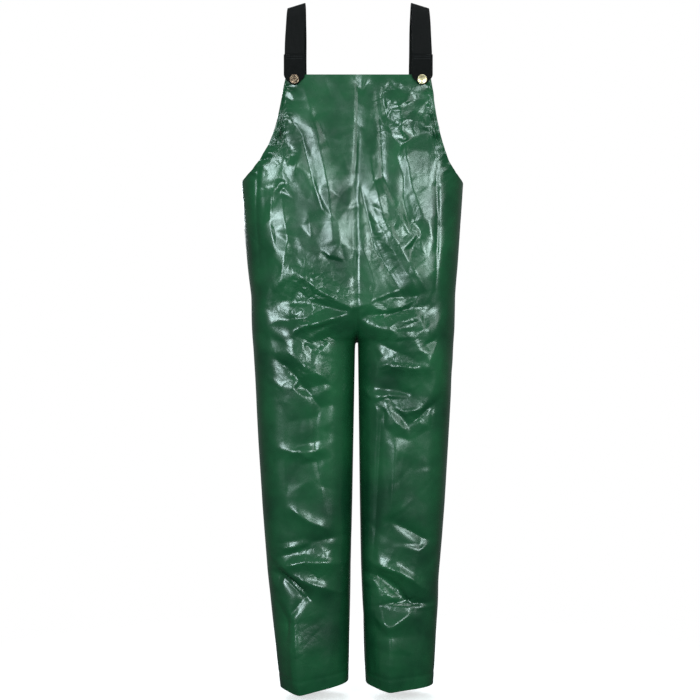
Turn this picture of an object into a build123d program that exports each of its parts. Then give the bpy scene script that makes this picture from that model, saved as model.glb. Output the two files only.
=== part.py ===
"""Bib-and-brace fishing overalls in coated fabric, with two elastic shoulder braces on press studs.

Frame: millimetres, +Z up, the wearer faces -Y, so the wearer's left is +X.
The origin is midway between the two braces, level with the underside of their highest point: the line the
garment hangs from.
Right-hand pieces are the mirror images of the left-hand ones.
"""

import os
from functools import lru_cache
from math import acos, atan2, cos, degrees, hypot, radians, sin

from build123d import *

# ---------------------------------------------------------------- driving dimensions
# Heights, measured downwards from the hanging line.
brace_drop = 163.0  # hanging line to the bib's top edge
bib_height = 217.0  # bib's top edge to the armpit corner
rise = 338.0  # armpit corner to the crotch
inseam = 722.0  # crotch to the leg hem
back_drop = 62.0  # how far the back's top edge lies below the bib's

# Widths and depths of the worn shape, over the fabric.
bib_width = 300.0
back_width = 312.0
yoke_width = 450.0  # girth section at the bib's top edge
chest_width = 468.0  # at the armpit corners
waist_width = 442.0
hip_width = 424.0  # at the crotch
chest_depth = 236.0  # constant from the bib's top edge to the armpit, so that the bib hangs flat
hip_depth = 230.0
knee_width = 183.0
knee_depth = 198.0
knee_drop = 330.0  # crotch to knee
hem_width = 143.0
hem_depth = 170.0
yoke_corner = 80.0  # plan radii of the section's corners
chest_corner = 108.0
knee_corner = 72.0
hem_corner = 55.0
crotch_corner = 5.0  # the inner leg's corner where it leaves the crotch
thigh_corner = 30.0
thigh_drop = 70.0  # crotch to the level where the inner thigh is round
crotch_gap = 6.0  # between the two inner legs
knee_gap = 18.0
hem_gap = 36.0

# Fabric, tapes and facings.
wall = 1.2
tape = 0.6  # thickness of a welded seam tape or facing
tape_width = 24.0
seam_gap = 0.2  # between two panels where they meet
bib_facing = 26.0  # depth of the folded hem along the bib's and the back's top
armhole_facing = 15.0
leg_facing = 28.0
gusset_width = 22.0
patch_size = 24.0  # square reinforcement behind each stud
patch = 0.9

# Braces.
brace_offset = 131.0  # centre of each brace from the garment's centre
elastic_width = 40.0
elastic = 1.8
shoulder_radius = 75.0  # inside radius of the brace where it goes over the shoulder
anchor_lap = 48.0  # how far the elastic laps over the back panel
anchor_patch_margin = 8.0
tab_width = 43.0
tab = 2.6
tab_rise = 40.0  # tab's top edge above the bib's top edge
tab_shoulder = 3.0  # tab's full width ends this far above the bib's top edge
tab_tip_radius = 11.5
split_gap = 0.5  # between pieces that move on each other

# Press studs.
stud_drop = 11.0  # stud's centre below the bib's top edge
stud_base_radius = 7.0
stud_base = 0.8
ball_radius = 3.6
ball_neck_radius = 3.1
ball_height = 2.5
shank_radius = 2.2
shank_bore = 0.05  # radial clearance of a shank in its hole
post_flange = 0.8
socket_radius = 7.6
socket_height = 3.2
socket_lip_radius = 3.75
socket_cavity_radius = 4.6
socket_lip = 0.7
socket_seat = 0.2  # socket's lip above the stud's base
spring_wire = 0.35  # radius of the wire
cap_radius = 9.75
cap_rim = 1.2
cap_dome = 1.0

# ---------------------------------------------------------------- derived levels
bib_top = -brace_drop
armpit = bib_top - bib_height
crotch = armpit - rise
hem = crotch - inseam
back_top = bib_top - back_drop
waist = (armpit + crotch) / 2
front_face = -chest_depth / 2
stud_level = bib_top - stud_drop
tab_back = front_face - stud_base - socket_seat - socket_height
tab_front = tab_back - tab
tab_top = bib_top + tab_rise
beyond = 40.0  # how far cutting shapes run past the garment

torso_levels = [
    # level, width, depth, corner radius
    (bib_top, yoke_width, chest_depth, yoke_corner),
    (armpit, chest_width, chest_depth, chest_corner),
    (waist, waist_width, (chest_depth + hip_depth) / 2, chest_corner),
    (crotch, hip_width, hip_depth, chest_corner),
]
leg_levels = [
    # level, inner x, outer x, depth, inner corner radius, outer corner radius
    (crotch, crotch_gap / 2, hip_width / 2, hip_depth, crotch_corner, chest_corner),
    (
        crotch - thigh_drop,
        crotch_gap,
        crotch_gap + (hip_width - crotch_gap) / 2 - 4,
        hip_depth - 6,
        thigh_corner,
        0.9 * chest_corner,
    ),
    (crotch - knee_drop, knee_gap / 2, knee_gap / 2 + knee_width, knee_depth, knee_corner, knee_corner),
    (hem, hem_gap / 2, hem_gap / 2 + hem_width, hem_depth, hem_corner, hem_corner),
]


# ---------------------------------------------------------------- the worn shape
@lru_cache(maxsize=None)
def torso_form(inset):
    """The torso as a solid, shrunk by inset all round."""
    with BuildPart() as form:
        for level, width, depth, corner in torso_levels:
            with BuildSketch(Plane.XY.offset(level)):
                RectangleRounded(width - 2 * inset, depth - 2 * inset, corner - inset)
        loft(ruled=True)
    return form.part


@lru_cache(maxsize=None)
def leg_form(inset):
    """The left leg as a solid, shrunk by inset all round."""
    with BuildPart() as form:
        for level, inner, outer, depth, inner_corner, outer_corner in leg_levels:
            with BuildSketch(Plane.XY.offset(level)) as section:
                with Locations(((inner + outer) / 2, 0)):
                    Rectangle(outer - inner - 2 * inset, depth - 2 * inset)
                by_side = section.vertices().group_by(Axis.X)
                fillet(by_side[0], inner_corner - inset)
                fillet(section.vertices().group_by(Axis.X)[-1], outer_corner - inset)
        loft(ruled=True)
    return form.part


@lru_cache(maxsize=None)
def torso_layer(outer, inner):
    """The torso's left half between two insets, as a shell open at both ends."""
    with BuildPart() as layer:
        add(torso_form(outer))
        add(torso_form(inner), mode=Mode.SUBTRACT)
        split(bisect_by=Plane.YZ.offset(seam_gap / 2), keep=Keep.TOP)
    return layer.part


@lru_cache(maxsize=None)
def leg_layer(outer, inner):
    """The left leg between two insets, as a tube open at both ends."""
    with BuildPart() as layer:
        add(leg_form(outer))
        add(leg_form(inner), mode=Mode.SUBTRACT)
    return layer.part


def outline(top, top_width):
    """One left-hand panel seen from the front: straight top, hollowed armhole, then everything below it."""
    half, wide = top_width / 2, chest_width / 2
    with BuildSketch(Plane.XZ) as sketch:
        with BuildLine():
            Line((0, top), (half, top))
            armhole_curve(top, top_width)
            Polyline(
                (wide, armpit),
                (wide + beyond, armpit),
                (wide + beyond, hem - beyond),
                (0, hem - beyond),
                (0, top),
            )
        make_face()
    return sketch.sketch


def armhole_curve(top, top_width, shift=0.0):
    """The hollow of one armhole, from the panel's top corner down to the armpit."""
    return Spline(
        (top_width / 2 - shift, top),
        (chest_width / 2 - shift, armpit),
        tangents=[(0.10, -1.0), (1.0, -0.72)],
    )


def armhole_band(top, top_width):
    """The strip along an armhole that its facing covers, below the top facing."""
    with BuildSketch(Plane.XZ) as sketch:
        with BuildLine():
            outer_edge = armhole_curve(top, top_width)
            inner_edge = armhole_curve(top, top_width, armhole_facing)
            Line(outer_edge @ 0, inner_edge @ 0)
            Line(outer_edge @ 1, inner_edge @ 1)
        make_face()
        with Locations((top_width / 2, top)):
            Rectangle(chest_width, 2 * (bib_facing + seam_gap), mode=Mode.SUBTRACT)
    return sketch.sketch


def front_or_back(sketch, front):
    """A front-view outline, extruded over the front or the back half of the garment."""
    depth = chest_depth / 2 + beyond
    with BuildPart() as block:
        extrude(to_extrude=sketch, amount=depth, dir=(0, -1 if front else 1, 0))
        if front:
            split(bisect_by=Plane.XZ.offset(seam_gap / 2), keep=Keep.TOP)
        else:
            split(bisect_by=Plane.XZ.offset(-seam_gap / 2), keep=Keep.BOTTOM)
    return block.part


def strip(low, high, x=(0.0, 400.0), y=(-200.0, 200.0)):
    """A box between two levels, used to take a strip out of a layer."""
    with BuildPart() as block:
        with Locations(((x[0] + x[1]) / 2, (y[0] + y[1]) / 2, (low + high) / 2)):
            Box(x[1] - x[0], y[1] - y[0], high - low)
    return block.part


def stud_hole(radius, y=(-200.0, 0.0)):
    """The hole of one press stud, along Y."""
    with BuildPart() as hole:
        with BuildSketch(Plane.XZ.offset(-y[1])):
            with Locations((brace_offset, stud_level)):
                Circle(radius)
        extrude(amount=y[1] - y[0])
    return hole.part


# ---------------------------------------------------------------- fabric panels
def panel(front):
    """A left-hand panel: bib or back, torso quarter and half of the leg, in one cut of fabric."""
    top, width = (bib_top, bib_width) if front else (back_top, back_width)
    with BuildPart() as piece:
        add(torso_layer(0.0, wall))
        add(leg_layer(0.0, wall))
        add(front_or_back(outline(top, width), front), mode=Mode.INTERSECT)
        if front:
            add(stud_hole(shank_radius + shank_bore), mode=Mode.SUBTRACT)
    return piece.part


# ---------------------------------------------------------------- tapes and facings
def centre_tape(front):
    """The welded tape behind the centre seam, from the top facing to the crotch, left half and right half in one."""
    top = (bib_top if front else back_top) - bib_facing - seam_gap
    side = (-200.0, -chest_depth / 4) if front else (chest_depth / 4, 200.0)
    with BuildPart() as piece:
        add(torso_form(wall))
        add(torso_form(wall + tape), mode=Mode.SUBTRACT)
        reach = (-tape_width / 2, tape_width / 2)
        add(strip(crotch + wall + seam_gap, top, reach, side), mode=Mode.INTERSECT)
    return piece.part


def side_tape():
    """The tape behind one side seam, from the armpit to the leg's facing."""
    reach = (-tape_width / 2, tape_width / 2)
    with BuildPart() as piece:
        add(torso_layer(wall, wall + tape))
        add(leg_layer(wall, wall + tape))
        low, high = hem + leg_facing + seam_gap, armpit - seam_gap
        add(strip(low, high, (hem_gap / 2 + hem_width / 2, 400.0), reach), mode=Mode.INTERSECT)
    return piece.part


def inseam_tape():
    """The tape behind one inner-leg seam, from the crotch to the leg's facing."""
    reach = (-tape_width / 2, tape_width / 2)
    with BuildPart() as piece:
        add(leg_layer(wall, wall + tape))
        low, high = hem + leg_facing + seam_gap, crotch - seam_gap
        add(strip(low, high, (0.0, hem_gap / 2 + hem_width / 2), reach), mode=Mode.INTERSECT)
    return piece.part


def top_facing(front):
    """The folded hem inside the bib's or the back's top edge, both halves in one."""
    top, width = (bib_top, bib_width) if front else (back_top, back_width)
    with BuildPart() as piece:
        add(torso_form(wall))
        add(torso_form(wall + tape), mode=Mode.SUBTRACT)
        add(strip(top - bib_facing, top + beyond), mode=Mode.INTERSECT)
        add(front_or_back(outline(top, width), front), mode=Mode.INTERSECT)
        if front:
            add(stud_hole(shank_radius + shank_bore), mode=Mode.SUBTRACT)
        mirror(about=Plane.YZ)
    return piece.part


def armhole_hem():
    """The facing round one armhole: a front strip and a back strip."""
    pieces = []
    for front, top, width in ((True, bib_top, bib_width), (False, back_top, back_width)):
        with BuildPart() as piece:
            add(torso_layer(wall, wall + tape))
            add(front_or_back(armhole_band(top, width), front), mode=Mode.INTERSECT)
        pieces += piece.part.solids()
    return Compound(children=pieces)


def leg_hem():
    """The folded hem inside one leg's opening."""
    with BuildPart() as piece:
        add(leg_layer(wall, wall + tape))
        add(strip(hem, hem + leg_facing), mode=Mode.INTERSECT)
    return piece.part


def crotch_gusset():
    """The strip that closes the crotch, on top of the two inner legs."""
    inner_depth = hip_depth - 2 * wall - 2 * tape - 2 * seam_gap
    with BuildPart() as piece:
        with Locations((0, 0, crotch + wall / 2)):
            Box(gusset_width, inner_depth, wall)
    return piece.part


def stud_patch():
    """The reinforcement behind the stud, inside the bib's facing."""
    behind = wall + tape
    x = (brace_offset - patch_size / 2, brace_offset + patch_size / 2)
    with BuildPart() as piece:
        add(torso_layer(behind, behind + patch))
        add(strip(bib_top - patch_size, bib_top, x, (-200.0, 0.0)), mode=Mode.INTERSECT)
        add(stud_hole(shank_radius + shank_bore), mode=Mode.SUBTRACT)
    return piece.part


def anchor_patch():
    """The reinforcement inside the back, behind the elastic's stitching."""
    behind = wall + tape
    half = elastic_width / 2 + anchor_patch_margin
    x = (brace_offset - half, brace_offset + half)
    low = back_top - anchor_lap - anchor_patch_margin
    with BuildPart() as piece:
        add(torso_layer(behind, behind + patch))
        add(strip(low, back_top, x, (0.0, 200.0)), mode=Mode.INTERSECT)
        add(front_or_back(outline(back_top, back_width), False), mode=Mode.INTERSECT)
    return piece.part


# ---------------------------------------------------------------- braces
def tangent_point(outside, toward_front):
    """Where a straight line from an outside point meets the shoulder's round, both in (y, z)."""
    middle = (0.0, -shoulder_radius)
    radius = shoulder_radius + elastic / 2
    reach = hypot(outside[0] - middle[0], outside[1] - middle[1])
    angle = atan2(outside[1] - middle[1], outside[0] - middle[0])
    turn = acos(radius / reach)
    at = angle - turn if toward_front else angle + turn
    return (middle[0] + radius * cos(at), middle[1] + radius * sin(at))


def brace_front():
    """The elastic from the tab, over the front of the shoulder, to its highest point."""
    start = ((tab_back + tab_front) / 2, tab_top)
    meet = tangent_point(start, True)
    run = (start[0] - meet[0], start[1] - meet[1])
    longer = 1.0 + elastic / hypot(*run)
    low = (meet[0] + run[0] * longer, meet[1] + run[1] * longer)
    crest = (-split_gap / 2, elastic / 2)
    with BuildPart() as piece:
        with BuildSketch(Plane.YZ.offset(brace_offset - elastic_width / 2)):
            with BuildLine() as middle:
                Line(low, meet)
                RadiusArc(meet, (0.0, elastic / 2), shoulder_radius + elastic / 2)
            trace(middle.line, elastic)
        extrude(amount=elastic_width)
        split(bisect_by=Plane.XY.offset(tab_top + split_gap), keep=Keep.TOP)
        split(bisect_by=Plane.XZ.offset(-crest[0]), keep=Keep.TOP)
    return piece.part


def brace_back():
    """The elastic from its highest point down to the lap that is stitched to the back panel."""
    skin = chest_depth / 2 + elastic / 2
    lap_top, lap_low = (skin, back_top + elastic), (skin, back_top - anchor_lap)
    meet = tangent_point(lap_top, False)
    with BuildPart() as piece:
        with BuildSketch(Plane.YZ.offset(brace_offset - elastic_width / 2)):
            with BuildLine() as middle:
                RadiusArc((0.0, elastic / 2), meet, shoulder_radius + elastic / 2)
                Line(meet, lap_top)
                Line(lap_top, lap_low)
            trace(middle.line, elastic)
        extrude(amount=elastic_width)
        split(bisect_by=Plane.XZ.offset(-split_gap / 2), keep=Keep.BOTTOM)
    return piece.part


def brace_tab():
    """The doubled end of the brace, narrowed to a round tip that carries the press stud's cap."""
    half = tab_width / 2
    corner = bib_top + tab_shoulder
    run, fall = half, corner - stud_level
    reach = hypot(run, fall)
    lean = degrees(atan2(-fall, run) + acos(tab_tip_radius / reach))
    tip = (
        brace_offset + tab_tip_radius * cos(radians(lean)),
        stud_level - tab_tip_radius * sin(radians(lean)),
    )
    mirrored_tip = (2 * brace_offset - tip[0], tip[1])
    with BuildPart() as piece:
        with BuildSketch(Plane.XZ.offset(-tab_back)):
            with BuildLine():
                Line((brace_offset - half, tab_top), (brace_offset + half, tab_top))
                Line((brace_offset + half, tab_top), (brace_offset + half, corner))
                Line((brace_offset + half, corner), tip)
                ThreePointArc(tip, (brace_offset, stud_level - tab_tip_radius), mirrored_tip)
                Line(mirrored_tip, (brace_offset - half, corner))
                Line((brace_offset - half, corner), (brace_offset - half, tab_top))
            make_face()
        extrude(amount=tab)
        add(stud_hole(shank_radius + shank_bore), mode=Mode.SUBTRACT)
    return piece.part


# ---------------------------------------------------------------- press studs
def turned(profile, face):
    """A piece turned about the stud's axis. The profile's points are (radius, distance out from the face)."""
    base = Plane(origin=(brace_offset, face, stud_level), x_dir=(1, 0, 0), z_dir=(0, 0, 1))
    with BuildPart() as piece:
        with BuildSketch(base):
            with BuildLine():
                Polyline(*[(r, -out) for r, out in profile], close=True)
            make_face()
        revolve(axis=Axis((brace_offset, 0, stud_level), (0, 1, 0)))
    return piece.part


def stud():
    """The ball half of the press stud, on the bib's face."""
    top = stud_base + ball_height
    bore = shank_radius + shank_bore
    return turned(
        [
            (bore, 0.0),
            (stud_base_radius, 0.0),
            (stud_base_radius, stud_base),
            (ball_neck_radius, stud_base),
            (ball_neck_radius, stud_base + 0.35 * ball_height),
            (ball_radius, stud_base + 0.6 * ball_height),
            (ball_radius, stud_base + 0.8 * ball_height),
            (ball_neck_radius, top),
            (0.0, top),
            (0.0, top - 0.6),
            (bore, top - 0.6),
        ],
        front_face,
    )


def stud_post():
    """The rivet that holds the stud, through the bib's fabric, facing and patch."""
    behind = wall + tape + patch
    flange = -behind - post_flange
    end = stud_base + ball_height - 0.6 - shank_bore
    return turned(
        [
            (0.0, flange),
            (stud_base_radius, flange),
            (stud_base_radius, -behind),
            (shank_radius, -behind),
            (shank_radius, end),
            (0.0, end),
        ],
        front_face,
    )


def snap_socket():
    """The socket half, riveted to the back of the tab, open towards the stud."""
    low = stud_base + socket_seat
    roof = low + socket_height - 0.6
    return turned(
        [
            (socket_lip_radius, low),
            (socket_radius, low),
            (socket_radius, low + socket_height),
            (shank_radius + shank_bore, low + socket_height),
            (shank_radius + shank_bore, roof),
            (socket_cavity_radius, roof),
            (socket_cavity_radius, low + socket_lip),
            (socket_lip_radius, low + socket_lip),
        ],
        front_face,
    )


def socket_spring():
    """The wire ring in the socket that grips the stud's ball."""
    middle = socket_cavity_radius - spring_wire - shank_bore
    level = front_face - stud_base - socket_seat - socket_lip - spring_wire - shank_bore
    with BuildPart() as piece:
        with BuildSketch(Plane(origin=(brace_offset, level, stud_level), x_dir=(1, 0, 0), z_dir=(0, 0, 1))):
            with Locations((middle, 0)):
                Circle(spring_wire)
        revolve(axis=Axis((brace_offset, 0, stud_level), (0, 1, 0)))
    return piece.part


def snap_cap():
    """The domed cap on the front of the tab, with the shank that is riveted into the socket."""
    face = tab_front - front_face
    out = -face
    inward = out - tab - 0.6
    with BuildPart() as piece:
        add(
            turned(
                [
                    (0.0, inward),
                    (shank_radius, inward),
                    (shank_radius, out),
                    (cap_radius, out),
                    (cap_radius, out + cap_rim),
                    (cap_radius - 0.6, out + cap_rim + 0.4),
                    (0.62 * cap_radius, out + cap_rim + cap_dome),
                    (0.0, out + cap_rim + cap_dome),
                ],
                front_face,
            )
        )
    return piece.part


# ---------------------------------------------------------------- building and export
def write(shape, name):
    """One named node, as its own STEP file."""
    shape.label = name
    export_step(shape, f"parts/{name}.step")


def write_pair(shape, name):
    """A left-hand node and its mirror image on the right."""
    write(shape, f"left_{name}")
    write(mirror(shape, about=Plane.YZ), f"right_{name}")


os.makedirs("parts", exist_ok=True)

write_pair(panel(front=True), "front_panel")
write_pair(panel(front=False), "back_panel")
write(centre_tape(front=True), "centre_front_seam_tape")
write(centre_tape(front=False), "centre_back_seam_tape")
write_pair(side_tape(), "side_seam_tape")
write_pair(inseam_tape(), "inseam_tape")
write(top_facing(front=True), "bib_top_facing")
write(top_facing(front=False), "back_top_facing")
write_pair(armhole_hem(), "armhole_facing")
write_pair(leg_hem(), "leg_hem")
write(crotch_gusset(), "crotch_gusset")
write_pair(stud_patch(), "stud_patch")
write_pair(anchor_patch(), "brace_anchor_patch")
write_pair(stud(), "stud")
write_pair(stud_post(), "stud_post")
write_pair(brace_back(), "brace_back_elastic")
write_pair(brace_front(), "brace_front_elastic")
write_pair(brace_tab(), "brace_tab")
write_pair(snap_cap(), "snap_cap")
write_pair(snap_socket(), "snap_socket")
write_pair(socket_spring(), "socket_spring")
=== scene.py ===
# %% [markdown]
# # Bib-and-brace fishing overalls
# Waterproof overalls in a glossy coated cloth. A tall bib and a tall back hang from two black elastic braces,
# and each brace ends in a doubled tab that snaps on to the bib with a press stud.
# The CAD model is loaded first, because every piece made here sits in its frame, and all but the braces ride on its
# bodies.

import math
import random

import bpy
import numpy as np
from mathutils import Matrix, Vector
from mathutils.geometry import delaunay_2d_cdt


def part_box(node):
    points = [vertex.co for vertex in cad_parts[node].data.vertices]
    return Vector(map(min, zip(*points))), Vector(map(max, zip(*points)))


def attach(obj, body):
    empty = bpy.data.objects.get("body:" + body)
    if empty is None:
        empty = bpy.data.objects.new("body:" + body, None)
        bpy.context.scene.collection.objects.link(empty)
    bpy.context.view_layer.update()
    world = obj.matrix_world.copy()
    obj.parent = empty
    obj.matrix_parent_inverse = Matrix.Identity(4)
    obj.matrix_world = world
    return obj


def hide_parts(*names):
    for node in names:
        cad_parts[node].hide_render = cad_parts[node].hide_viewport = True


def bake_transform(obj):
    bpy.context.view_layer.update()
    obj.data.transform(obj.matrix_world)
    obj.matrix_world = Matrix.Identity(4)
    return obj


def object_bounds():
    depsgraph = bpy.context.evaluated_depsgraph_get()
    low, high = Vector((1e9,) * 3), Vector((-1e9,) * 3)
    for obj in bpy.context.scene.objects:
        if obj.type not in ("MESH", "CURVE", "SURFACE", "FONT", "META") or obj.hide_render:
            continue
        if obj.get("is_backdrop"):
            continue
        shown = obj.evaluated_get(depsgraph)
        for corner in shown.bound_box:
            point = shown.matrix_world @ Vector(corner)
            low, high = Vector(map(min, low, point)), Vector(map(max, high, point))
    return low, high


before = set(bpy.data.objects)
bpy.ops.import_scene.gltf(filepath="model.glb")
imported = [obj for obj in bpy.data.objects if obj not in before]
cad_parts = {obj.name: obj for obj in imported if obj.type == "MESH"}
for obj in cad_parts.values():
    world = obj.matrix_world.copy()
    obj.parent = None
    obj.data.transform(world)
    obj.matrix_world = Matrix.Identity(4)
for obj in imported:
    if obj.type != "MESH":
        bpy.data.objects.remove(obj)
cad_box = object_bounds()
print("CAD box", [[round(v, 3) for v in corner] for corner in cad_box])

# %% [markdown]
# ## Camera and light
# A garment of this height is seen best from straight in front, level, at half its height, and from far
# enough away that the bib and the hems keep their true widths.
# Coated cloth is judged by its reflections. Two soft lights stand at the belly's height, one on each side of the
# camera, and put a sheen on the planes that lean towards them. A weak light on the right and one overhead open
# the shadows, one behind lights the back, and a dim room keeps the sides dark. The backdrop and the floor are
# pale to the eye alone, so that they don't wash the cloth out.

# %% Place the camera
bib_low, bib_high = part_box("left_front_panel")
bib_top = bib_high[2]
hem = bib_low[2]
front_face = bib_low[1]
view_distance = 3.3
view_width = 1.435
view_side = -0.0169  # the garment swings a little to this side, and the camera stands with it
view_below_bib = 0.565

camera_data = bpy.data.cameras.new("camera")
camera_data.sensor_width = 36.0
camera_data.lens = camera_data.sensor_width * view_distance / view_width
camera = bpy.data.objects.new("camera", camera_data)
bpy.context.scene.collection.objects.link(camera)
camera.location = (view_side, front_face - view_distance, bib_top - view_below_bib)
camera.rotation_euler = (math.pi / 2, 0, 0)
bpy.context.scene.camera = camera
print(f"lens {camera_data.lens:.1f} mm at {view_distance} m")


# %% [markdown]
# ## Two helpers for materials
# Colours are chosen as sRGB hex values, the way a swatch gives them, and turned to the linear values that a
# shader wants. A material is a tree of nodes, and one function adds any node with its settings and links.

# %% Colours and nodes
def srgb(swatch):
    """An sRGB hex colour as a linear colour with full alpha."""
    parts = [int(swatch[i : i + 2], 16) / 255 for i in (1, 3, 5)]
    return tuple(p / 12.92 if p <= 0.04045 else ((p + 0.055) / 1.055) ** 2.4 for p in parts) + (1.0,)


def add_node(tree, kind, settings=None, links=None):
    """Add a node, set its sockets and its other settings, and link its inputs."""
    node = tree.nodes.new(kind)
    for name, value in (settings or {}).items():
        if isinstance(name, int) or name in node.inputs:
            node.inputs[name].default_value = value
        else:
            setattr(node, name, value)
    for name, source in (links or {}).items():
        tree.links.new(source, node.inputs[name])
    return node


def new_material(name):
    """An empty material and its node tree."""
    material = bpy.data.materials.new(name)
    material.use_nodes = True
    material.node_tree.nodes.clear()
    return material, material.node_tree


# %% Floor
floor_gap = 0.022  # the garment hangs this far above the floor
bpy.ops.object.select_all(action="DESELECT")
bpy.ops.mesh.primitive_plane_add(size=6.0, location=(0, 0, hem - floor_gap))
floor = bpy.context.object
floor.name = "floor"

pale_floor, tree = new_material("pale_studio_floor")
place = add_node(tree, "ShaderNodeTexCoord")
from_middle = add_node(tree, "ShaderNodeVectorMath", {"operation": "LENGTH"}, {0: place.outputs["Object"]})
fade = add_node(
    tree,
    "ShaderNodeMapRange",
    {"From Min": 0.35, "From Max": 1.1, "To Min": 0.0, "To Max": 1.0, "interpolation_type": "SMOOTHSTEP"},
    {"Value": from_middle.outputs["Value"]},
)
paint = add_node(tree, "ShaderNodeBsdfDiffuse", {"Color": srgb("#FAFAFA")})
glow = add_node(tree, "ShaderNodeEmission", {"Color": srgb("#FFFFFF"), "Strength": 0.60})
pale = add_node(tree, "ShaderNodeAddShader", {}, {0: paint.outputs[0], 1: glow.outputs[0]})
# Only the eye sees the floor pale: a bright floor would throw light up into the hems, which hang in shade.
shade = add_node(tree, "ShaderNodeBsdfDiffuse", {"Color": srgb("#5A5A5A")})
floor_ray = add_node(tree, "ShaderNodeLightPath")
lit = add_node(
    tree,
    "ShaderNodeMixShader",
    {},
    {0: floor_ray.outputs["Is Camera Ray"], 1: shade.outputs[0], 2: pale.outputs[0]},
)
gone = add_node(tree, "ShaderNodeBsdfTransparent")
mixed = add_node(tree, "ShaderNodeMixShader", {}, {0: fade.outputs[0], 1: lit.outputs[0], 2: gone.outputs[0]})
add_node(tree, "ShaderNodeOutputMaterial", {}, {"Surface": mixed.outputs[0]})
floor.data.materials.append(pale_floor)
floor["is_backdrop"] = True

# %% Backdrop and soft lights
studio = bpy.data.worlds.new("studio")
bpy.context.scene.world = studio
studio.use_nodes = True
tree = studio.node_tree
tree.nodes.clear()
ray = add_node(tree, "ShaderNodeLightPath")
toward = add_node(tree, "ShaderNodeTexCoord")
apart = add_node(tree, "ShaderNodeSeparateXYZ", {}, {0: toward.outputs["Generated"]})
dim = add_node(
    tree,
    "ShaderNodeMapRange",
    {"From Min": -0.9, "From Max": 0.4, "To Min": 0.03, "To Max": 0.26},
    {"Value": apart.outputs["Z"]},
)
room = add_node(tree, "ShaderNodeBackground", {"Color": srgb("#E2F0EE")}, {"Strength": dim.outputs[0]})
white = add_node(tree, "ShaderNodeBackground", {"Color": srgb("#FFFFFF"), "Strength": 1.0})
seen = add_node(
    tree,
    "ShaderNodeMixShader",
    {},
    {0: ray.outputs["Is Camera Ray"], 1: room.outputs[0], 2: white.outputs[0]},
)
add_node(tree, "ShaderNodeOutputWorld", {}, {"Surface": seen.outputs[0]})

middle = Vector((0.0, 0.0, (bib_top + hem) / 2))
lights = [
    # name, place, width and height in metres, watts, colour
    ("key", (-1.00, -2.8, -0.42), (0.7, 0.6), 42, "#DDF4F6"),
    ("second", (1.00, -2.8, -0.40), (0.5, 0.6), 30, "#DDF4F2"),
    ("fill", (1.45, -2.2, 0.20), (0.6, 0.9), 8, "#F2FAFF"),
    ("top", (0.1, -0.9, 1.4), (1.2, 0.5), 14, "#F4F9FF"),
    ("rear", (-0.9, 2.6, 0.3), (1.2, 1.2), 62, "#F2FAFF"),
]
for name, at, (width, height), watts, swatch in lights:
    lamp = bpy.data.lights.new(name, "AREA")
    lamp.shape = "RECTANGLE"
    lamp.size, lamp.size_y = width, height
    lamp.energy = watts
    lamp.color = srgb(swatch)[:3]
    softbox = bpy.data.objects.new(name, lamp)
    bpy.context.scene.collection.objects.link(softbox)
    softbox.location = at
    softbox.rotation_euler = (middle - Vector(at)).to_track_quat("-Z", "Y").to_euler()
bpy.context.scene.view_settings.view_transform = "Standard"

# %% [markdown]
# ## The garment's sizes
# Heights come from the CAD nodes: the bib's top edge, the armpit, the crotch and the hem.
# The girth sections are the cloth's own, and repeat the CAD model's, because a box can't tell them.

# %% Read the garment's levels
back_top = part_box("left_back_panel")[1][2]
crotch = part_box("crotch_gusset")[0][2]
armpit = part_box("left_side_seam_tape")[1][2]
chest_half = bib_high[0]
bib_half = 0.150
back_half = 0.156
for name, level in (("bib", bib_top), ("back", back_top), ("armpit", armpit), ("crotch", crotch), ("hem", hem)):
    print(f"{name} at {level:.3f} m")

# Each row is a level: inner x, outer x, half depth, inner corner radius, outer corner radius, all in metres.
# Above the crotch the inner side passes behind the garment's middle, so the section is cut at x = 0.
fork = 0.105
sections = [
    (bib_top, -0.225, 0.225, 0.118, 0.080, 0.080),
    (armpit, -0.234, 0.234, 0.118, 0.100, 0.100),
    ((armpit + crotch) / 2, -0.221, 0.221, 0.1165, 0.100, 0.100),
    (crotch + fork, -fork, 0.215, 0.1155, fork, 0.100),
    (crotch, 0.003, 0.212, 0.115, fork, 0.100),
    (crotch - 0.33, 0.009, 0.192, 0.099, 0.090, 0.090),
    (hem, 0.018, 0.161, 0.085, 0.068, 0.068),
]


# %% [markdown]
# ## The cloth's cut
# The overalls are cut like real ones: each side is one wide sheet that runs from the centre front, round the
# hip, to the centre back, and closes on itself below the crotch to make the leg. A flat grid is the right
# start, because its rows and columns are the cloth's weft and warp, and a simulation can bend them evenly.

# %% Work out one girth section
def girth(level, columns):
    """Points round the left half of the garment at one level, from the front to the back."""
    levels = [row[0] for row in sections][::-1]
    inner, outer, depth, inner_r, outer_r = (
        np.interp(level, levels, [row[i] for row in sections][::-1]) for i in range(1, 6)
    )
    turn = np.linspace(0, math.pi / 2, 24)
    x = np.concatenate([inner + inner_r * (1 - np.cos(turn)), outer - outer_r * (1 - np.sin(turn))])
    y = np.concatenate([-(depth - inner_r) - inner_r * np.sin(turn), -(depth - outer_r) - outer_r * np.cos(turn)])
    x = np.concatenate([[inner], x, x[::-1], [inner]])
    y = np.concatenate([[0.0], y, -y[::-1], [0.0]])
    x, y = spaced(x, y, np.linspace(0, 1, 1200))
    kept = x >= 0
    part = np.linspace(0, 1, columns)
    part = np.where(part < front_share, part / front_share / 2, 0.5 + (part - front_share) / (1 - front_share) / 2)
    x, y = spaced(x[kept], y[kept], part)
    if inner <= 0:
        x[0] = x[-1] = 0.0
    return x, y


def spaced(x, y, part):
    """The same line in points that lie at the given parts of its length, from 0 to 1."""
    along = np.concatenate([[0], np.cumsum(np.hypot(np.diff(x), np.diff(y)))])
    even = part * along[-1]
    return np.interp(even, along, x), np.interp(even, along, y)


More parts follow.
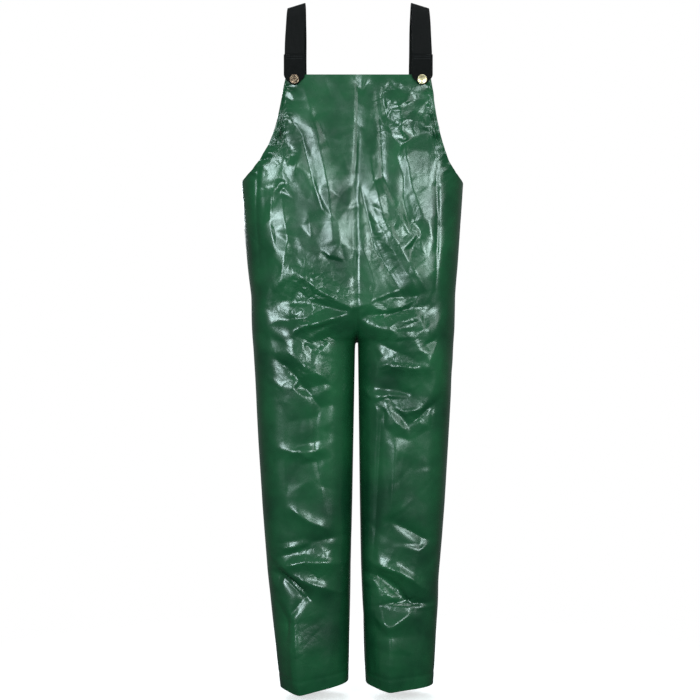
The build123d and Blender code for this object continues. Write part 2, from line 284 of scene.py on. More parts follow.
def armhole(top, half):
    """The hollow of the armhole seen from the front, as (x, z) points from the upper corner to the armpit."""
    run = np.array([chest_half - half, armpit - top])
    reach = np.hypot(*run)
    leave = np.array([0.10, -1.0]) / np.hypot(0.10, 1.0) * reach
    arrive = np.array([1.0, -0.72]) / np.hypot(1.0, 0.72) * reach
    s = np.linspace(0, 1, 60)[:, None]
    begin = np.array([half, top])
    return (
        (2 * s**3 - 3 * s**2 + 1) * begin
        + (s**3 - 2 * s**2 + s) * leave
        + (3 * s**2 - 2 * s**3) * (begin + run)
        + (s**3 - s**2) * arrive
    )


def edge_height(x, top, half):
    """The height of the cloth's upper edge at x: level across the bib, then down the hollow of the armhole."""
    curve = armhole(top, half)
    return np.interp(x, curve[:, 0], curve[:, 1], left=top, right=armpit)


# %% Lay the left side's grid on its sections
columns, rows = 97, 191
front_share = 56 / 96  # of the columns lie in front of the side seam, where the finest creases are
upper_rows = 50  # rows that follow the shaped upper edge; below them the rows run level
level_line = armpit - 0.10

bpy.ops.object.select_all(action="DESELECT")
bpy.ops.mesh.primitive_grid_add(x_subdivisions=columns - 1, y_subdivisions=rows - 1, size=1.0)
cloth = bpy.context.object
cloth.name = "garment_cloth"

grid = np.array([v.co for v in cloth.data.vertices])
column = np.rint((grid[:, 0] + 0.5) * (columns - 1)).astype(int)
row = np.rint((0.5 - grid[:, 1]) * (rows - 1)).astype(int)
levels = np.linspace(hem, bib_top, 260)
table = np.array([girth(level, columns) for level in levels])
chest_x, chest_y = girth(armpit, columns)
top_edge = np.where(
    chest_y < 0,
    edge_height(chest_x, bib_top, bib_half),
    edge_height(chest_x, back_top, back_half),
)
laid = np.zeros_like(grid)
for index, (c, r) in enumerate(zip(column, row)):
    if r < upper_rows:
        z = top_edge[c] + (level_line - top_edge[c]) * r / upper_rows
    else:
        z = level_line + (hem - level_line) * (r - upper_rows) / (rows - 1 - upper_rows)
    at = (z - hem) / (bib_top - hem) * (len(levels) - 1)
    below = min(int(at), len(levels) - 2)
    part = at - below
    x, y = table[below, :, c] * (1 - part) + table[below + 1, :, c] * part
    laid[index] = (x, y, z)
cloth.data.vertices.foreach_set("co", laid.ravel())
print("left side:", len(grid), "points")

# %% Sew the left side's inner leg and join the right side to it
bpy.ops.object.mode_set(mode="EDIT")
bpy.ops.mesh.select_all(action="SELECT")
bpy.ops.mesh.remove_doubles(threshold=0.0004)
bpy.ops.object.mode_set(mode="OBJECT")
other_side = cloth.modifiers.new("right side", "MIRROR")
other_side.merge_threshold = 0.0004
bpy.ops.object.modifier_apply(modifier=other_side.name)
bpy.ops.object.mode_set(mode="EDIT")
bpy.ops.mesh.select_all(action="SELECT")
bpy.ops.mesh.normals_make_consistent(inside=False)
bpy.ops.object.mode_set(mode="OBJECT")

# Every point remembers where it was cut, so that panels, hems and tapes can be taken from the draped cloth.
cut = np.array([v.co for v in cloth.data.vertices])
where_cut = cloth.data.attributes.new("where_cut", "FLOAT_VECTOR", "POINT")
where_cut.data.foreach_set("vector", cut.ravel())
print("whole garment:", len(cut), "points", len(cloth.data.polygons), "faces")

# %% [markdown]
# ## Folds
# Coated cloth is stiff: it doesn't ripple, it buckles into flat planes that meet in crisp creases. The creases
# that show on these overalls are laid on the cloth first, each as a line with a depth and a width. A crease is
# sharp at its line and fades on both sides, so its height falls off exponentially with the distance.

# %% List the creases
# Each crease: (height in metres, positive stands out and negative sinks in; half width; points as (x, z)).
front_creases = [
    # The centre seam pulls the bib in, with a pucker below the top hem.
    (-0.0055, 0.014, [(0.008, -0.195), (0.002, -0.277), (-0.004, -0.379), (-0.006, -0.543), (-0.004, -0.700)]),
    (-0.006, 0.010, [(0.008, -0.199), (-0.012, -0.168)]),
    (-0.006, 0.010, [(0.008, -0.199), (0.022, -0.168)]),
    # The bib's long folds, from the studs and the armholes down to the waist.
    (-0.008, 0.009, [(-0.150, -0.238), (-0.114, -0.286), (-0.098, -0.340), (-0.083, -0.388), (-0.066, -0.440)]),
    (-0.006, 0.009, [(-0.158, -0.280), (-0.136, -0.320), (-0.126, -0.345)]),
    (-0.005, 0.009, [(-0.098, -0.236), (-0.078, -0.262), (-0.062, -0.300), (-0.050, -0.325)]),
    (0.008, 0.022, [(-0.110, -0.190), (-0.082, -0.280), (-0.052, -0.400), (-0.046, -0.500)]),
    (-0.009, 0.011, [(0.037, -0.200), (0.049, -0.290), (0.057, -0.370), (0.085, -0.430)]),
    (-0.006, 0.010, [(0.075, -0.168), (0.050, -0.205), (0.060, -0.250), (0.095, -0.270)]),
    (0.009, 0.024, [(0.078, -0.185), (0.098, -0.300), (0.120, -0.390), (0.142, -0.450)]),
    (0.008, 0.020, [(0.030, -0.330), (0.060, -0.460), (0.115, -0.550), (0.150, -0.605)]),
    (-0.008, 0.012, [(0.012, -0.395), (0.040, -0.520), (0.105, -0.625)]),
    (-0.006, 0.012, [(0.105, -0.340), (0.100, -0.420), (0.118, -0.490)]),
    # The sides turn back in a long fold from the armpit to the hip.
    (-0.007, 0.010, [(-0.193, -0.318), (-0.198, -0.430), (-0.194, -0.560)]),
    (-0.006, 0.010, [(-0.190, -0.395), (-0.160, -0.402), (-0.146, -0.376)]),
    (-0.007, 0.014, [(0.172, -0.349), (0.175, -0.470), (0.168, -0.605)]),
    (0.006, 0.014, [(-0.150, -0.400), (-0.135, -0.500), (-0.150, -0.590)]),
    (0.006, 0.012, [(-0.118, -0.328), (-0.124, -0.365)]),
    (0.006, 0.012, [(-0.094, -0.448), (-0.088, -0.495)]),
    # The lap: planes that fan out from the fork.
    (0.010, 0.017, [(-0.010, -0.640), (-0.066, -0.609), (-0.120, -0.568)]),
    (-0.005, 0.011, [(-0.012, -0.652), (-0.070, -0.636), (-0.145, -0.628)]),
    (0.009, 0.015, [(-0.014, -0.665), (-0.060, -0.668), (-0.125, -0.690)]),
    (-0.004, 0.009, [(-0.010, -0.691), (-0.070, -0.708), (-0.120, -0.722)]),
    (-0.006, 0.010, [(-0.060, -0.640), (-0.100, -0.665), (-0.155, -0.668)]),
    (0.008, 0.017, [(0.004, -0.640), (0.050, -0.618), (0.100, -0.600)]),
    (-0.004, 0.009, [(0.006, -0.691), (0.060, -0.722), (0.110, -0.744)]),
    (0.007, 0.018, [(0.012, -0.672), (0.080, -0.690), (0.150, -0.690)]),
    (-0.006, 0.010, [(0.010, -0.660), (0.070, -0.652), (0.140, -0.640)]),
    # The leg on the viewer's left.
    (-0.008, 0.011, [(-0.160, -0.750), (-0.130, -0.775), (-0.100, -0.815), (-0.070, -0.850)]),
    (0.008, 0.016, [(-0.130, -0.742), (-0.095, -0.768), (-0.050, -0.800)]),
    (-0.006, 0.010, [(-0.078, -0.851), (-0.084, -0.930), (-0.070, -1.010)]),
    (0.005, 0.010, [(-0.150, -0.935), (-0.117, -0.943), (-0.072, -0.938)]),
    (0.008, 0.014, [(-0.128, -1.060), (-0.095, -1.085), (-0.060, -1.100)]),
    (-0.006, 0.011, [(-0.160, -1.160), (-0.130, -1.150), (-0.080, -1.126), (-0.020, -1.110)]),
    (0.010, 0.012, [(-0.170, -1.182), (-0.100, -1.168), (-0.020, -1.172)]),
    (-0.010, 0.010, [(-0.182, -1.180), (-0.145, -1.200), (-0.105, -1.240)]),
    (0.008, 0.012, [(-0.148, -1.190), (-0.085, -1.215), (-0.030, -1.232)]),
    (-0.006, 0.010, [(-0.105, -1.240), (-0.132, -1.281), (-0.140, -1.330)]),
    (0.024, 0.042, [(-0.122, -1.290), (-0.117, -1.360), (-0.113, -1.470)]),
    # The leg on the viewer's right.
    (0.009, 0.011, [(0.050, -0.764), (0.080, -0.760), (0.135, -0.764)]),
    (-0.008, 0.012, [(0.060, -0.815), (0.085, -0.850), (0.113, -0.888)]),
    (0.009, 0.014, [(0.072, -0.841), (0.105, -0.862), (0.145, -0.848)]),
    (-0.008, 0.011, [(0.113, -0.888), (0.140, -0.868), (0.170, -0.838)]),
    (-0.009, 0.012, [(0.053, -0.871), (0.048, -0.950), (0.045, -1.015), (0.037, -1.158)]),
    (0.007, 0.018, [(0.085, -0.930), (0.080, -1.020), (0.075, -1.090)]),
    (-0.007, 0.011, [(0.080, -1.085), (0.120, -1.105), (0.168, -1.132)]),
    (-0.010, 0.011, [(0.016, -1.186), (0.060, -1.205), (0.109, -1.240)]),
    (0.010, 0.012, [(0.040, -1.172), (0.095, -1.190), (0.150, -1.225)]),
    (-0.010, 0.010, [(0.025, -1.262), (0.090, -1.254), (0.164, -1.253)]),
    (0.009, 0.013, [(0.045, -1.285), (0.074, -1.302), (0.110, -1.278)]),
    (0.024, 0.038, [(0.074, -1.320), (0.074, -1.370), (0.070, -1.470)]),
]
# The back has folds of the same kind, where such cloth folds when it hangs: across the waist, under the seat
# and behind the knees.
back_creases = [
    (-0.006, 0.014, [(0.0, -0.255), (0.003, -0.450), (0.0, -0.690)]),
    (-0.009, 0.014, [(-0.120, -0.290), (-0.085, -0.400), (-0.070, -0.520)]),
    (0.008, 0.022, [(0.118, -0.290), (0.095, -0.420), (0.060, -0.540)]),
    (-0.009, 0.014, [(0.150, -0.330), (0.130, -0.430), (0.140, -0.520)]),
    (-0.010, 0.014, [(-0.180, -0.480), (-0.080, -0.510), (0.010, -0.495)]),
    (-0.010, 0.014, [(0.020, -0.520), (0.090, -0.500), (0.170, -0.520)]),
    (0.010, 0.018, [(-0.170, -0.560), (-0.040, -0.545), (0.120, -0.560)]),
    (-0.009, 0.012, [(-0.010, -0.670), (-0.080, -0.690), (-0.175, -0.715)]),
    (-0.009, 0.012, [(0.010, -0.665), (0.090, -0.700), (0.180, -0.700)]),
    (0.009, 0.016, [(-0.150, -0.770), (-0.060, -0.745), (-0.020, -0.760)]),
    (0.009, 0.016, [(0.160, -0.760), (0.080, -0.740), (0.020, -0.770)]),
    (-0.009, 0.012, [(-0.170, -0.980), (-0.100, -1.010), (-0.030, -0.985)]),
    (0.009, 0.015, [(-0.150, -1.040), (-0.080, -1.060), (-0.030, -1.030)]),
    (-0.009, 0.012, [(0.030, -1.000), (0.100, -0.980), (0.165, -1.015)]),
    (0.010, 0.014, [(0.030, -1.060), (0.100, -1.035), (0.160, -1.075)]),
    (-0.010, 0.012, [(-0.160, -1.200), (-0.090, -1.230), (-0.030, -1.215)]),
    (0.009, 0.014, [(-0.150, -1.260), (-0.090, -1.285), (-0.040, -1.255)]),
    (-0.010, 0.012, [(0.030, -1.225), (0.090, -1.205), (0.155, -1.240)]),
    (0.009, 0.014, [(0.040, -1.270), (0.090, -1.300), (0.150, -1.280)]),
]


# %% Lay the creases
def crease_height(points, height, half_width, line, sharpness=1.25):
    """How far one crease moves each (x, z) point: most at its line, fading off it and at its two ends."""
    nearest = np.full(len(points), 9.0)
    along = np.zeros(len(points))
    line = np.array(line)
    lengths = np.hypot(*np.diff(line, axis=0).T)
    total, before = lengths.sum(), 0.0
    for a, b, length in zip(line[:-1], line[1:], lengths):
        part = np.clip(((points - a) @ (b - a)) / length**2, 0, 1)
        away = np.hypot(*(points - (a + part[:, None] * (b - a))).T)
        closer = away < nearest
        nearest = np.where(closer, away, nearest)
        along = np.where(closer, (before + part * length) / total, along)
        before += length
    ends = 0.35 + 0.65 * np.sin(np.pi * np.clip(along, 0.02, 0.98)) ** 0.6
    return height * ends * np.exp(-((nearest / half_width) ** sharpness))


def folded(points, normals, cut, share, sharpness, narrow=1.0):
    """The points moved out and in along their normals by a share of every crease's height."""
    to_front = np.clip(-normals[:, 1] * 1.6 - 0.25, 0, 1)
    to_back = np.clip(normals[:, 1] * 1.6 - 0.25, 0, 1)
    lift = np.zeros(len(points))
    for side, creases in ((to_front, front_creases), (to_back, back_creases)):
        for height, half_width, line in creases:
            lift += side * crease_height(cut[:, [0, 2]], height, half_width * narrow, line, sharpness)
    # The facings hold the bib's top and the armholes flat.
    lift *= np.clip((bib_top - cut[:, 2]) / 0.02, 0, 1)
    return points + normals * (lift * share)[:, None]


def read_points(mesh):
    """A mesh's points and its point normals, as arrays."""
    return np.array([v.co for v in mesh.vertices]), np.array([v.normal for v in mesh.vertices])


points, normals = read_points(cloth.data)
cut_normals = normals
cloth.data.vertices.foreach_set("co", folded(points, normals, cut, 1.0, 1.25).ravel())

# %% [markdown]
# ## Draping
# Cloth simulation turns the drawn creases into real buckles. An unseen body form, a little smaller than the
# garment, stands inside and keeps it from falling in. The cloth is cut a little too large for the space
# between its held edges, so it has to buckle, and being stiff it does so in a few large planes that start at
# the creases.

# %% Drape the cloth over the body form
form = cloth.copy()
form.data = cloth.data.copy()
form.name = "body_form"
bpy.context.scene.collection.objects.link(form)
form.data.vertices.foreach_set("co", (points - normals * 0.020).ravel())
form.modifiers.new("form", "COLLISION")
form.collision.thickness_outer = 0.002

held = cloth.vertex_groups.new(name="held")
for index, (x, y, z) in enumerate(cut):
    beside_brace = abs(abs(x) - 0.131) < 0.022
    at_stud = y < 0 and z > bib_top - 0.03 and beside_brace
    at_lap = y > 0 and z > back_top - 0.06 and beside_brace
    at_upper_edge = z > (bib_top if y < 0 else back_top) - 0.012
    at_armpit = abs(y) < 0.06 and z > armpit - 0.02
    if at_stud or at_lap:
        held.add([index], 1.0, "REPLACE")
    elif z < hem + 0.010 or at_armpit or at_upper_edge:
        held.add([index], 0.7, "REPLACE")
drape = cloth.modifiers.new("drape", "CLOTH")
drape.settings.quality = 6
drape.settings.mass = 0.25
drape.settings.tension_stiffness = 25
drape.settings.compression_stiffness = 25
drape.settings.shear_stiffness = 15
drape.settings.bending_stiffness = 14
drape.settings.shrink_min = -0.012
drape.settings.vertex_group_mass = "held"
drape.settings.pin_stiffness = 2
drape.settings.effector_weights.gravity = 0.0
drape.collision_settings.use_collision = True
drape.collision_settings.distance_min = 0.002
for step in range(1, 21):
    bpy.context.scene.frame_set(step)
bpy.context.view_layer.objects.active = cloth
bpy.ops.object.modifier_apply(modifier=drape.name)
bpy.data.objects.remove(form)
bpy.context.scene.frame_set(1)

# %% Keep the two legs apart and the outline true
draped, normals = read_points(cloth.data)
moved = draped - cut
size = np.linalg.norm(moved, axis=1)
furthest = 0.022
moved *= np.minimum(1, furthest / np.maximum(size, 1e-9))[:, None]
sideways = np.clip((np.abs(cut_normals[:, 0]) - 0.45) / 0.4, 0, 1)
moved *= (1 - 0.8 * sideways)[:, None]
# The bib hangs taut from the studs and stays nearly flat; the legs hang free and keep more of their buckles.
calm = np.interp(cut[:, 2], [hem, crotch - 0.1, crotch, armpit, bib_top], [0.75, 0.55, 0.40, 0.22, 0.15])
moved *= np.where(cut[:, 1] < 0, calm, 0.5 + 0.5 * calm)[:, None]
draped = cut + moved
gap = np.interp(cut[:, 2], [hem, crotch - 0.33, crotch, crotch + 0.001], [0.016, 0.008, 0.003, 0.0])
side = np.sign(cut[:, 0])
below = cut[:, 2] < crotch - 0.001
draped[:, 0] = np.where(below, side * np.maximum(draped[:, 0] * side, gap), draped[:, 0])
# Hung up, the front falls into nearly flat faces, and most of the turn lies close to the side.
depth_here = np.interp(cut[:, 2], [row[0] for row in sections][::-1], [row[3] for row in sections][::-1])
behind = np.clip(depth_here - np.abs(cut[:, 1]), 0, None)
flattened = 0.70
draped[:, 1] -= np.where(cut[:, 1] < 0, flattened * behind * (1 - behind / depth_here), 0)

# The garment hangs from two braces that are never quite equal, so its hips and legs swing a little to one side.
swing_levels = [hem, hem + 0.25, crotch, armpit, armpit + 0.10, bib_top]
swing = np.interp(cut[:, 2], swing_levels, [0.002, 0.004, 0.003, 0.006, 0.002, 0.0])
spread = np.interp(cut[:, 2], swing_levels, [0.001, 0.006, 0.007, 0.007, 0.001, 0.0])
draped[:, 0] -= swing + spread * np.minimum(np.abs(cut[:, 0]) / 0.2, 1)
# Each hem is caught up a little beside the fold that runs down to it, more on the inner side of the leg.
caught = np.interp(
    cut[:, 0],
    [-0.165, -0.113, -0.018, 0.018, 0.072, 0.165],
    [0.008, 0.0, 0.020, 0.016, 0.006, 0.014],
)
draped[:, 2] += caught * np.clip(1 - (cut[:, 2] - hem) / 0.22, 0, 1) ** 1.5
cloth.data.vertices.foreach_set("co", draped.ravel())
print(f"moved by draping: mean {size.mean() * 1000:.1f} mm, most {size.max() * 1000:.1f} mm")

# %% [markdown]
# ## Facets
# Between its creases the coated cloth is flat: light fills a whole plane and stops at its edge. So the finer
# shape is a net of triangles. Its main lines are the garment's visible folds, with a height at every point,
# and a loose scatter of points fills the rest. The cloth is lifted on to the net, which keeps planes plane.

# %% List the facets' lines
# Each line is a row of (x, z, height), with x and z in metres and the height in millimetres.
front_facets = [
    # The bib and the belly.
    [(0.053, -0.168, 2), (0.082, -0.174, 4), (0.107, -0.197, 2)],
    [(0.058, -0.209, 1), (0.079, -0.213, 3), (0.095, -0.207, 1)],
    [(0.062, -0.223, 3), (0.085, -0.230, 4), (0.079, -0.242, 2), (0.098, -0.254, 4), (0.133, -0.262, 3)],
    [(0.105, -0.223, 0), (0.118, -0.215, -3), (0.144, -0.213, -3)],
    [(0.112, -0.232, 0), (0.137, -0.250, -4), (0.160, -0.281, -5)],
    [(0.094, -0.305, -3), (0.118, -0.289, -5), (0.150, -0.279, -4)],
    [(0.098, -0.310, 1), (0.102, -0.332, 4), (0.120, -0.318, 2)],
    [(0.082, -0.191, -2), (0.103, -0.217, 3)],
    [
        (0.048, -0.207, 0), (0.059, -0.248, -1), (0.072, -0.289, -1),
        (0.087, -0.330, -1), (0.103, -0.379, -1), (0.111, -0.406, 0),
    ],
    [(0.066, -0.215, 2), (0.084, -0.273, 3), (0.102, -0.297, 2)],
    [(0.033, -0.199, 1), (0.042, -0.256, 2), (0.049, -0.318, 1), (0.060, -0.371, 1)],
    [
        (-0.152, -0.238, 0), (-0.129, -0.260, 0), (-0.112, -0.289, -1),
        (-0.095, -0.328, -1), (-0.080, -0.375, -1), (-0.068, -0.392, 0),
    ],
    [(-0.138, -0.226, 1), (-0.101, -0.264, 1), (-0.080, -0.314, 1), (-0.063, -0.363, 1)],
    [(-0.155, -0.285, 0), (-0.141, -0.301, 0), (-0.128, -0.322, 0)],
    [(-0.113, -0.324, 1), (-0.120, -0.349, 4), (-0.122, -0.371, 1)],
    [(-0.137, -0.381, 1), (-0.143, -0.394, 3)],
    [(-0.162, -0.297, 3), (-0.145, -0.328, 4), (-0.137, -0.351, 2)],
    [(-0.180, -0.363, -2), (-0.176, -0.392, -3), (-0.157, -0.398, -3), (-0.139, -0.385, -1)],
    [(-0.093, -0.228, 0), (-0.081, -0.244, -2), (-0.072, -0.254, 0)],
    [(-0.066, -0.275, 0), (-0.055, -0.291, -2), (-0.044, -0.303, 0)],
    [(-0.050, -0.400, -4), (-0.030, -0.414, -5), (-0.017, -0.437, -1)],
    [(-0.074, -0.404, 1), (-0.058, -0.433, 2), (-0.035, -0.465, 3)],
    [
        (0.012, -0.396, 0), (0.039, -0.426, 4), (0.063, -0.404, 5),
        (0.084, -0.437, 6), (0.102, -0.465, 7), (0.123, -0.498, 5),
    ],
    [
        (0.033, -0.433, 2), (0.047, -0.465, 5), (0.064, -0.498, 6),
        (0.087, -0.535, 6), (0.110, -0.574, 6), (0.133, -0.615, 2),
    ],
    [(0.018, -0.431, 0), (0.039, -0.486, 1), (0.059, -0.523, 0), (0.080, -0.560, 0), (0.097, -0.592, -1)],
    [(0.069, -0.445, 2), (0.085, -0.486, 3), (0.100, -0.523, 3)],
    [(0.114, -0.412, -1), (0.124, -0.461, -2), (0.136, -0.502, 0), (0.148, -0.547, 3), (0.144, -0.588, 2)],
    [(0.158, -0.420, 0), (0.170, -0.451, 2), (0.191, -0.482, 0)],
    [(0.153, -0.457, 0), (0.136, -0.482, -3), (0.121, -0.513, -3), (0.115, -0.533, 0)],
    [(-0.068, -0.437, 0), (-0.080, -0.465, 4), (-0.086, -0.498, 1)],
    [(-0.110, -0.474, 0), (-0.116, -0.498, 4), (-0.126, -0.515, 0)],
    [(-0.021, -0.480, 1), (-0.031, -0.508, 4), (-0.053, -0.535, 5), (-0.035, -0.539, 2)],
    [(-0.071, -0.521, 0), (-0.055, -0.539, -2), (-0.022, -0.547, -3)],
    [(-0.104, -0.519, 3), (-0.122, -0.531, 2)],
    [(-0.111, -0.541, 2), (-0.075, -0.539, 4), (-0.067, -0.547, 0)],
    [(-0.184, -0.392, -3), (-0.181, -0.431, -3), (-0.185, -0.465, 0)],
    [(-0.216, -0.482, 0), (-0.190, -0.519, -3), (-0.178, -0.560, 0)],
    [(-0.197, -0.480, 0), (-0.178, -0.527, -2)],
    [(-0.165, -0.400, 2), (-0.169, -0.461, 3), (-0.158, -0.523, 2)],
    # The lap, where planes fan out from the fork, and the thighs.
    [(-0.117, -0.547, 0), (-0.101, -0.566, 2), (-0.085, -0.582, 3), (-0.052, -0.607, 2), (-0.011, -0.638, 0)],
    [(-0.085, -0.582, 3), (-0.084, -0.623, 3), (-0.104, -0.638, 6), (-0.108, -0.662, 8), (-0.106, -0.681, 9)],
    [(-0.119, -0.551, 0), (-0.121, -0.595, 0), (-0.133, -0.638, 1), (-0.137, -0.666, 1)],
    [(-0.089, -0.586, 1), (-0.113, -0.609, -1), (-0.129, -0.633, -1)],
    [(-0.016, -0.640, 1), (-0.052, -0.644, 4), (-0.088, -0.648, 6)],
    [(-0.022, -0.648, 1), (-0.060, -0.660, 6), (-0.088, -0.664, 7)],
    [(-0.106, -0.681, 9), (-0.076, -0.677, 9), (-0.044, -0.660, 7), (-0.009, -0.644, 1)],
    [(-0.110, -0.693, 1), (-0.080, -0.687, -1), (-0.052, -0.677, -2), (-0.009, -0.658, -2)],
    [(-0.110, -0.689, 4), (-0.092, -0.699, 3)],
    [(-0.041, -0.674, 0), (-0.068, -0.689, 3), (-0.088, -0.703, 4), (-0.106, -0.728, 4)],
    [(-0.033, -0.693, 1), (-0.061, -0.718, 4), (-0.080, -0.744, 3)],
    [(-0.023, -0.687, -2), (-0.047, -0.703, -3), (-0.073, -0.728, -3)],
    [(-0.106, -0.730, 3), (-0.090, -0.744, 0)],
    [(-0.116, -0.740, 2), (-0.094, -0.748, 1)],
    [(-0.100, -0.720, -2), (-0.088, -0.732, -2)],
    [(-0.106, -0.761, 0), (-0.092, -0.759, 1), (-0.084, -0.781, 5), (-0.106, -0.785, 5)],
    [(-0.152, -0.806, 2), (-0.128, -0.810, 6), (-0.110, -0.787, 6), (-0.106, -0.765, 3)],
    [(-0.144, -0.797, 0), (-0.112, -0.771, 0)],
    [(-0.118, -0.810, 0), (-0.106, -0.828, 6), (-0.080, -0.828, 6), (-0.063, -0.812, 4), (-0.049, -0.802, 0)],
    [(-0.106, -0.812, 0), (-0.072, -0.802, 0)],
    [(0.020, -0.631, -1), (0.061, -0.623, -4), (0.118, -0.619, -3)],
    [(0.041, -0.640, 1), (0.056, -0.650, 4), (0.092, -0.642, 4), (0.129, -0.621, 2)],
    [(0.058, -0.664, 0), (0.075, -0.656, -3), (0.109, -0.644, -1)],
    [(0.101, -0.650, 1), (0.120, -0.656, 4), (0.143, -0.656, 0)],
    [(0.071, -0.679, 3), (0.092, -0.670, 6), (0.137, -0.662, 4)],
    [(0.079, -0.691, 1), (0.090, -0.703, 6), (0.122, -0.703, 4)],
    [(0.090, -0.685, -1), (0.117, -0.683, -2), (0.143, -0.685, 2), (0.156, -0.689, 1)],
    [(0.085, -0.709, 3), (0.111, -0.732, 4), (0.136, -0.752, 1)],
    [(0.092, -0.709, 3), (0.134, -0.730, 3), (0.160, -0.736, 5), (0.179, -0.744, 3)],
    [(0.177, -0.701, 2), (0.147, -0.720, -2)],
    [(0.034, -0.718, 0), (0.054, -0.738, 4), (0.071, -0.756, 2)],
    [(0.060, -0.722, 2), (0.073, -0.740, 2)],
    [(0.073, -0.759, -1), (0.102, -0.756, -1), (0.132, -0.759, -1)],
    [(0.077, -0.765, 3), (0.104, -0.769, 7), (0.121, -0.767, 6), (0.143, -0.781, 5)],
    [(0.117, -0.810, 5), (0.138, -0.797, 5), (0.164, -0.826, 2)],
    [(0.009, -0.800, -1), (0.049, -0.810, -5), (0.092, -0.816, -5), (0.115, -0.818, 0)],
    [(0.009, -0.816, 0), (0.032, -0.824, 4), (0.066, -0.826, 4), (0.117, -0.826, 1)],
    [(0.035, -0.838, 1), (0.062, -0.855, 2)],
    [(0.071, -0.857, 2), (0.083, -0.861, 0), (0.100, -0.869, 0), (0.134, -0.859, 0), (0.164, -0.841, 2)],
    [
        (0.073, -0.861, 5), (0.088, -0.882, 8), (0.105, -0.894, 8),
        (0.134, -0.879, 8), (0.151, -0.863, 7), (0.164, -0.845, 3),
    ],
    [(0.062, -0.888, 0), (0.083, -0.908, -1), (0.117, -0.916, -1), (0.160, -0.892, 0)],
    [(0.066, -0.830, 0), (0.060, -0.855, -3)],
    # The knees and shins.
    [(-0.116, -0.929, 0), (-0.088, -0.923, 0), (-0.068, -0.918, 0)],
    [(-0.116, -0.937, 3), (-0.102, -0.953, 6), (-0.088, -0.947, 4), (-0.068, -0.929, 1)],
    [(-0.112, -0.966, -1), (-0.072, -0.957, -1)],
    [(-0.068, -0.851, 2), (-0.080, -0.892, 3), (-0.072, -0.974, 2), (-0.064, -1.056, 2)],
    [(-0.148, -0.851, 1), (-0.144, -0.953, 2), (-0.140, -1.035, 2)],
    [(0.045, -0.851, 2), (0.041, -0.953, 2), (0.048, -1.056, 1)],
    [(0.014, -0.912, -2), (0.020, -0.994, -2), (0.020, -1.076, -2)],
    [(0.103, -0.943, 2), (0.092, -1.015, 3), (0.101, -1.076, 2)],
    [(-0.171, -1.158, 1), (-0.144, -1.140, 5), (-0.108, -1.134, 7), (-0.076, -1.128, 2)],
    [(-0.146, -1.175, 2), (-0.120, -1.154, 1), (-0.076, -1.136, 0)],
    [(-0.132, -1.128, 0), (-0.104, -1.119, 0)],
    [(-0.181, -1.162, 0), (-0.152, -1.189, -6), (-0.128, -1.210, -7), (-0.099, -1.236, -3)],
    [(-0.142, -1.181, 4), (-0.092, -1.177, 4), (-0.026, -1.183, 2)],
    [(-0.136, -1.187, 5), (-0.112, -1.201, 5), (-0.086, -1.224, 5)],
    [(-0.144, -1.197, 1), (-0.120, -1.218, 4), (-0.101, -1.236, 3)],
    [(-0.130, -1.199, 1), (-0.112, -1.214, 1)],
    [(-0.177, -1.189, 1), (-0.156, -1.224, 3), (-0.143, -1.253, 3), (-0.130, -1.279, 6), (-0.105, -1.248, 4)],
    [(-0.165, -1.244, -1), (-0.151, -1.265, -3), (-0.140, -1.285, -3)],
    [(-0.072, -1.210, 1), (-0.053, -1.240, 0), (-0.022, -1.210, 0)],
    [(-0.089, -1.251, 2), (-0.099, -1.273, 3)],
    [(0.075, -1.123, 0), (0.103, -1.130, 1), (0.137, -1.134, 0)],
    [(0.075, -1.132, 1), (0.103, -1.136, 4), (0.134, -1.144, 6)],
    [(0.143, -1.119, 1), (0.153, -1.130, 4), (0.164, -1.117, 1)],
    [(0.046, -1.158, 2), (0.084, -1.166, 3), (0.101, -1.177, 1)],
    [(0.046, -1.128, 2), (0.042, -1.169, 1)],
    [(0.010, -1.193, -3), (0.046, -1.199, -6), (0.083, -1.230, -8), (0.112, -1.248, -5)],
    [(0.100, -1.220, 3), (0.112, -1.242, 6), (0.131, -1.238, 4)],
    [(0.105, -1.199, 3), (0.122, -1.195, 3), (0.130, -1.216, 2)],
    [(0.010, -1.210, 4), (0.037, -1.203, 5)],
    [(0.010, -1.236, 0), (0.024, -1.220, 0)],
    [(0.050, -1.224, 1), (0.070, -1.240, 1)],
    [(0.032, -1.255, 3), (0.047, -1.248, 2), (0.091, -1.253, 2), (0.116, -1.255, 2)],
    [(0.032, -1.259, 4), (0.049, -1.257, 5), (0.099, -1.261, 5), (0.169, -1.261, 4)],
    [(0.034, -1.263, 4), (0.059, -1.285, 6), (0.069, -1.306, 7), (0.095, -1.300, 4), (0.150, -1.271, 0)],
    [(0.070, -1.267, 1), (0.112, -1.271, 1)],
    [(0.073, -1.322, 5), (0.090, -1.347, 4)],
]


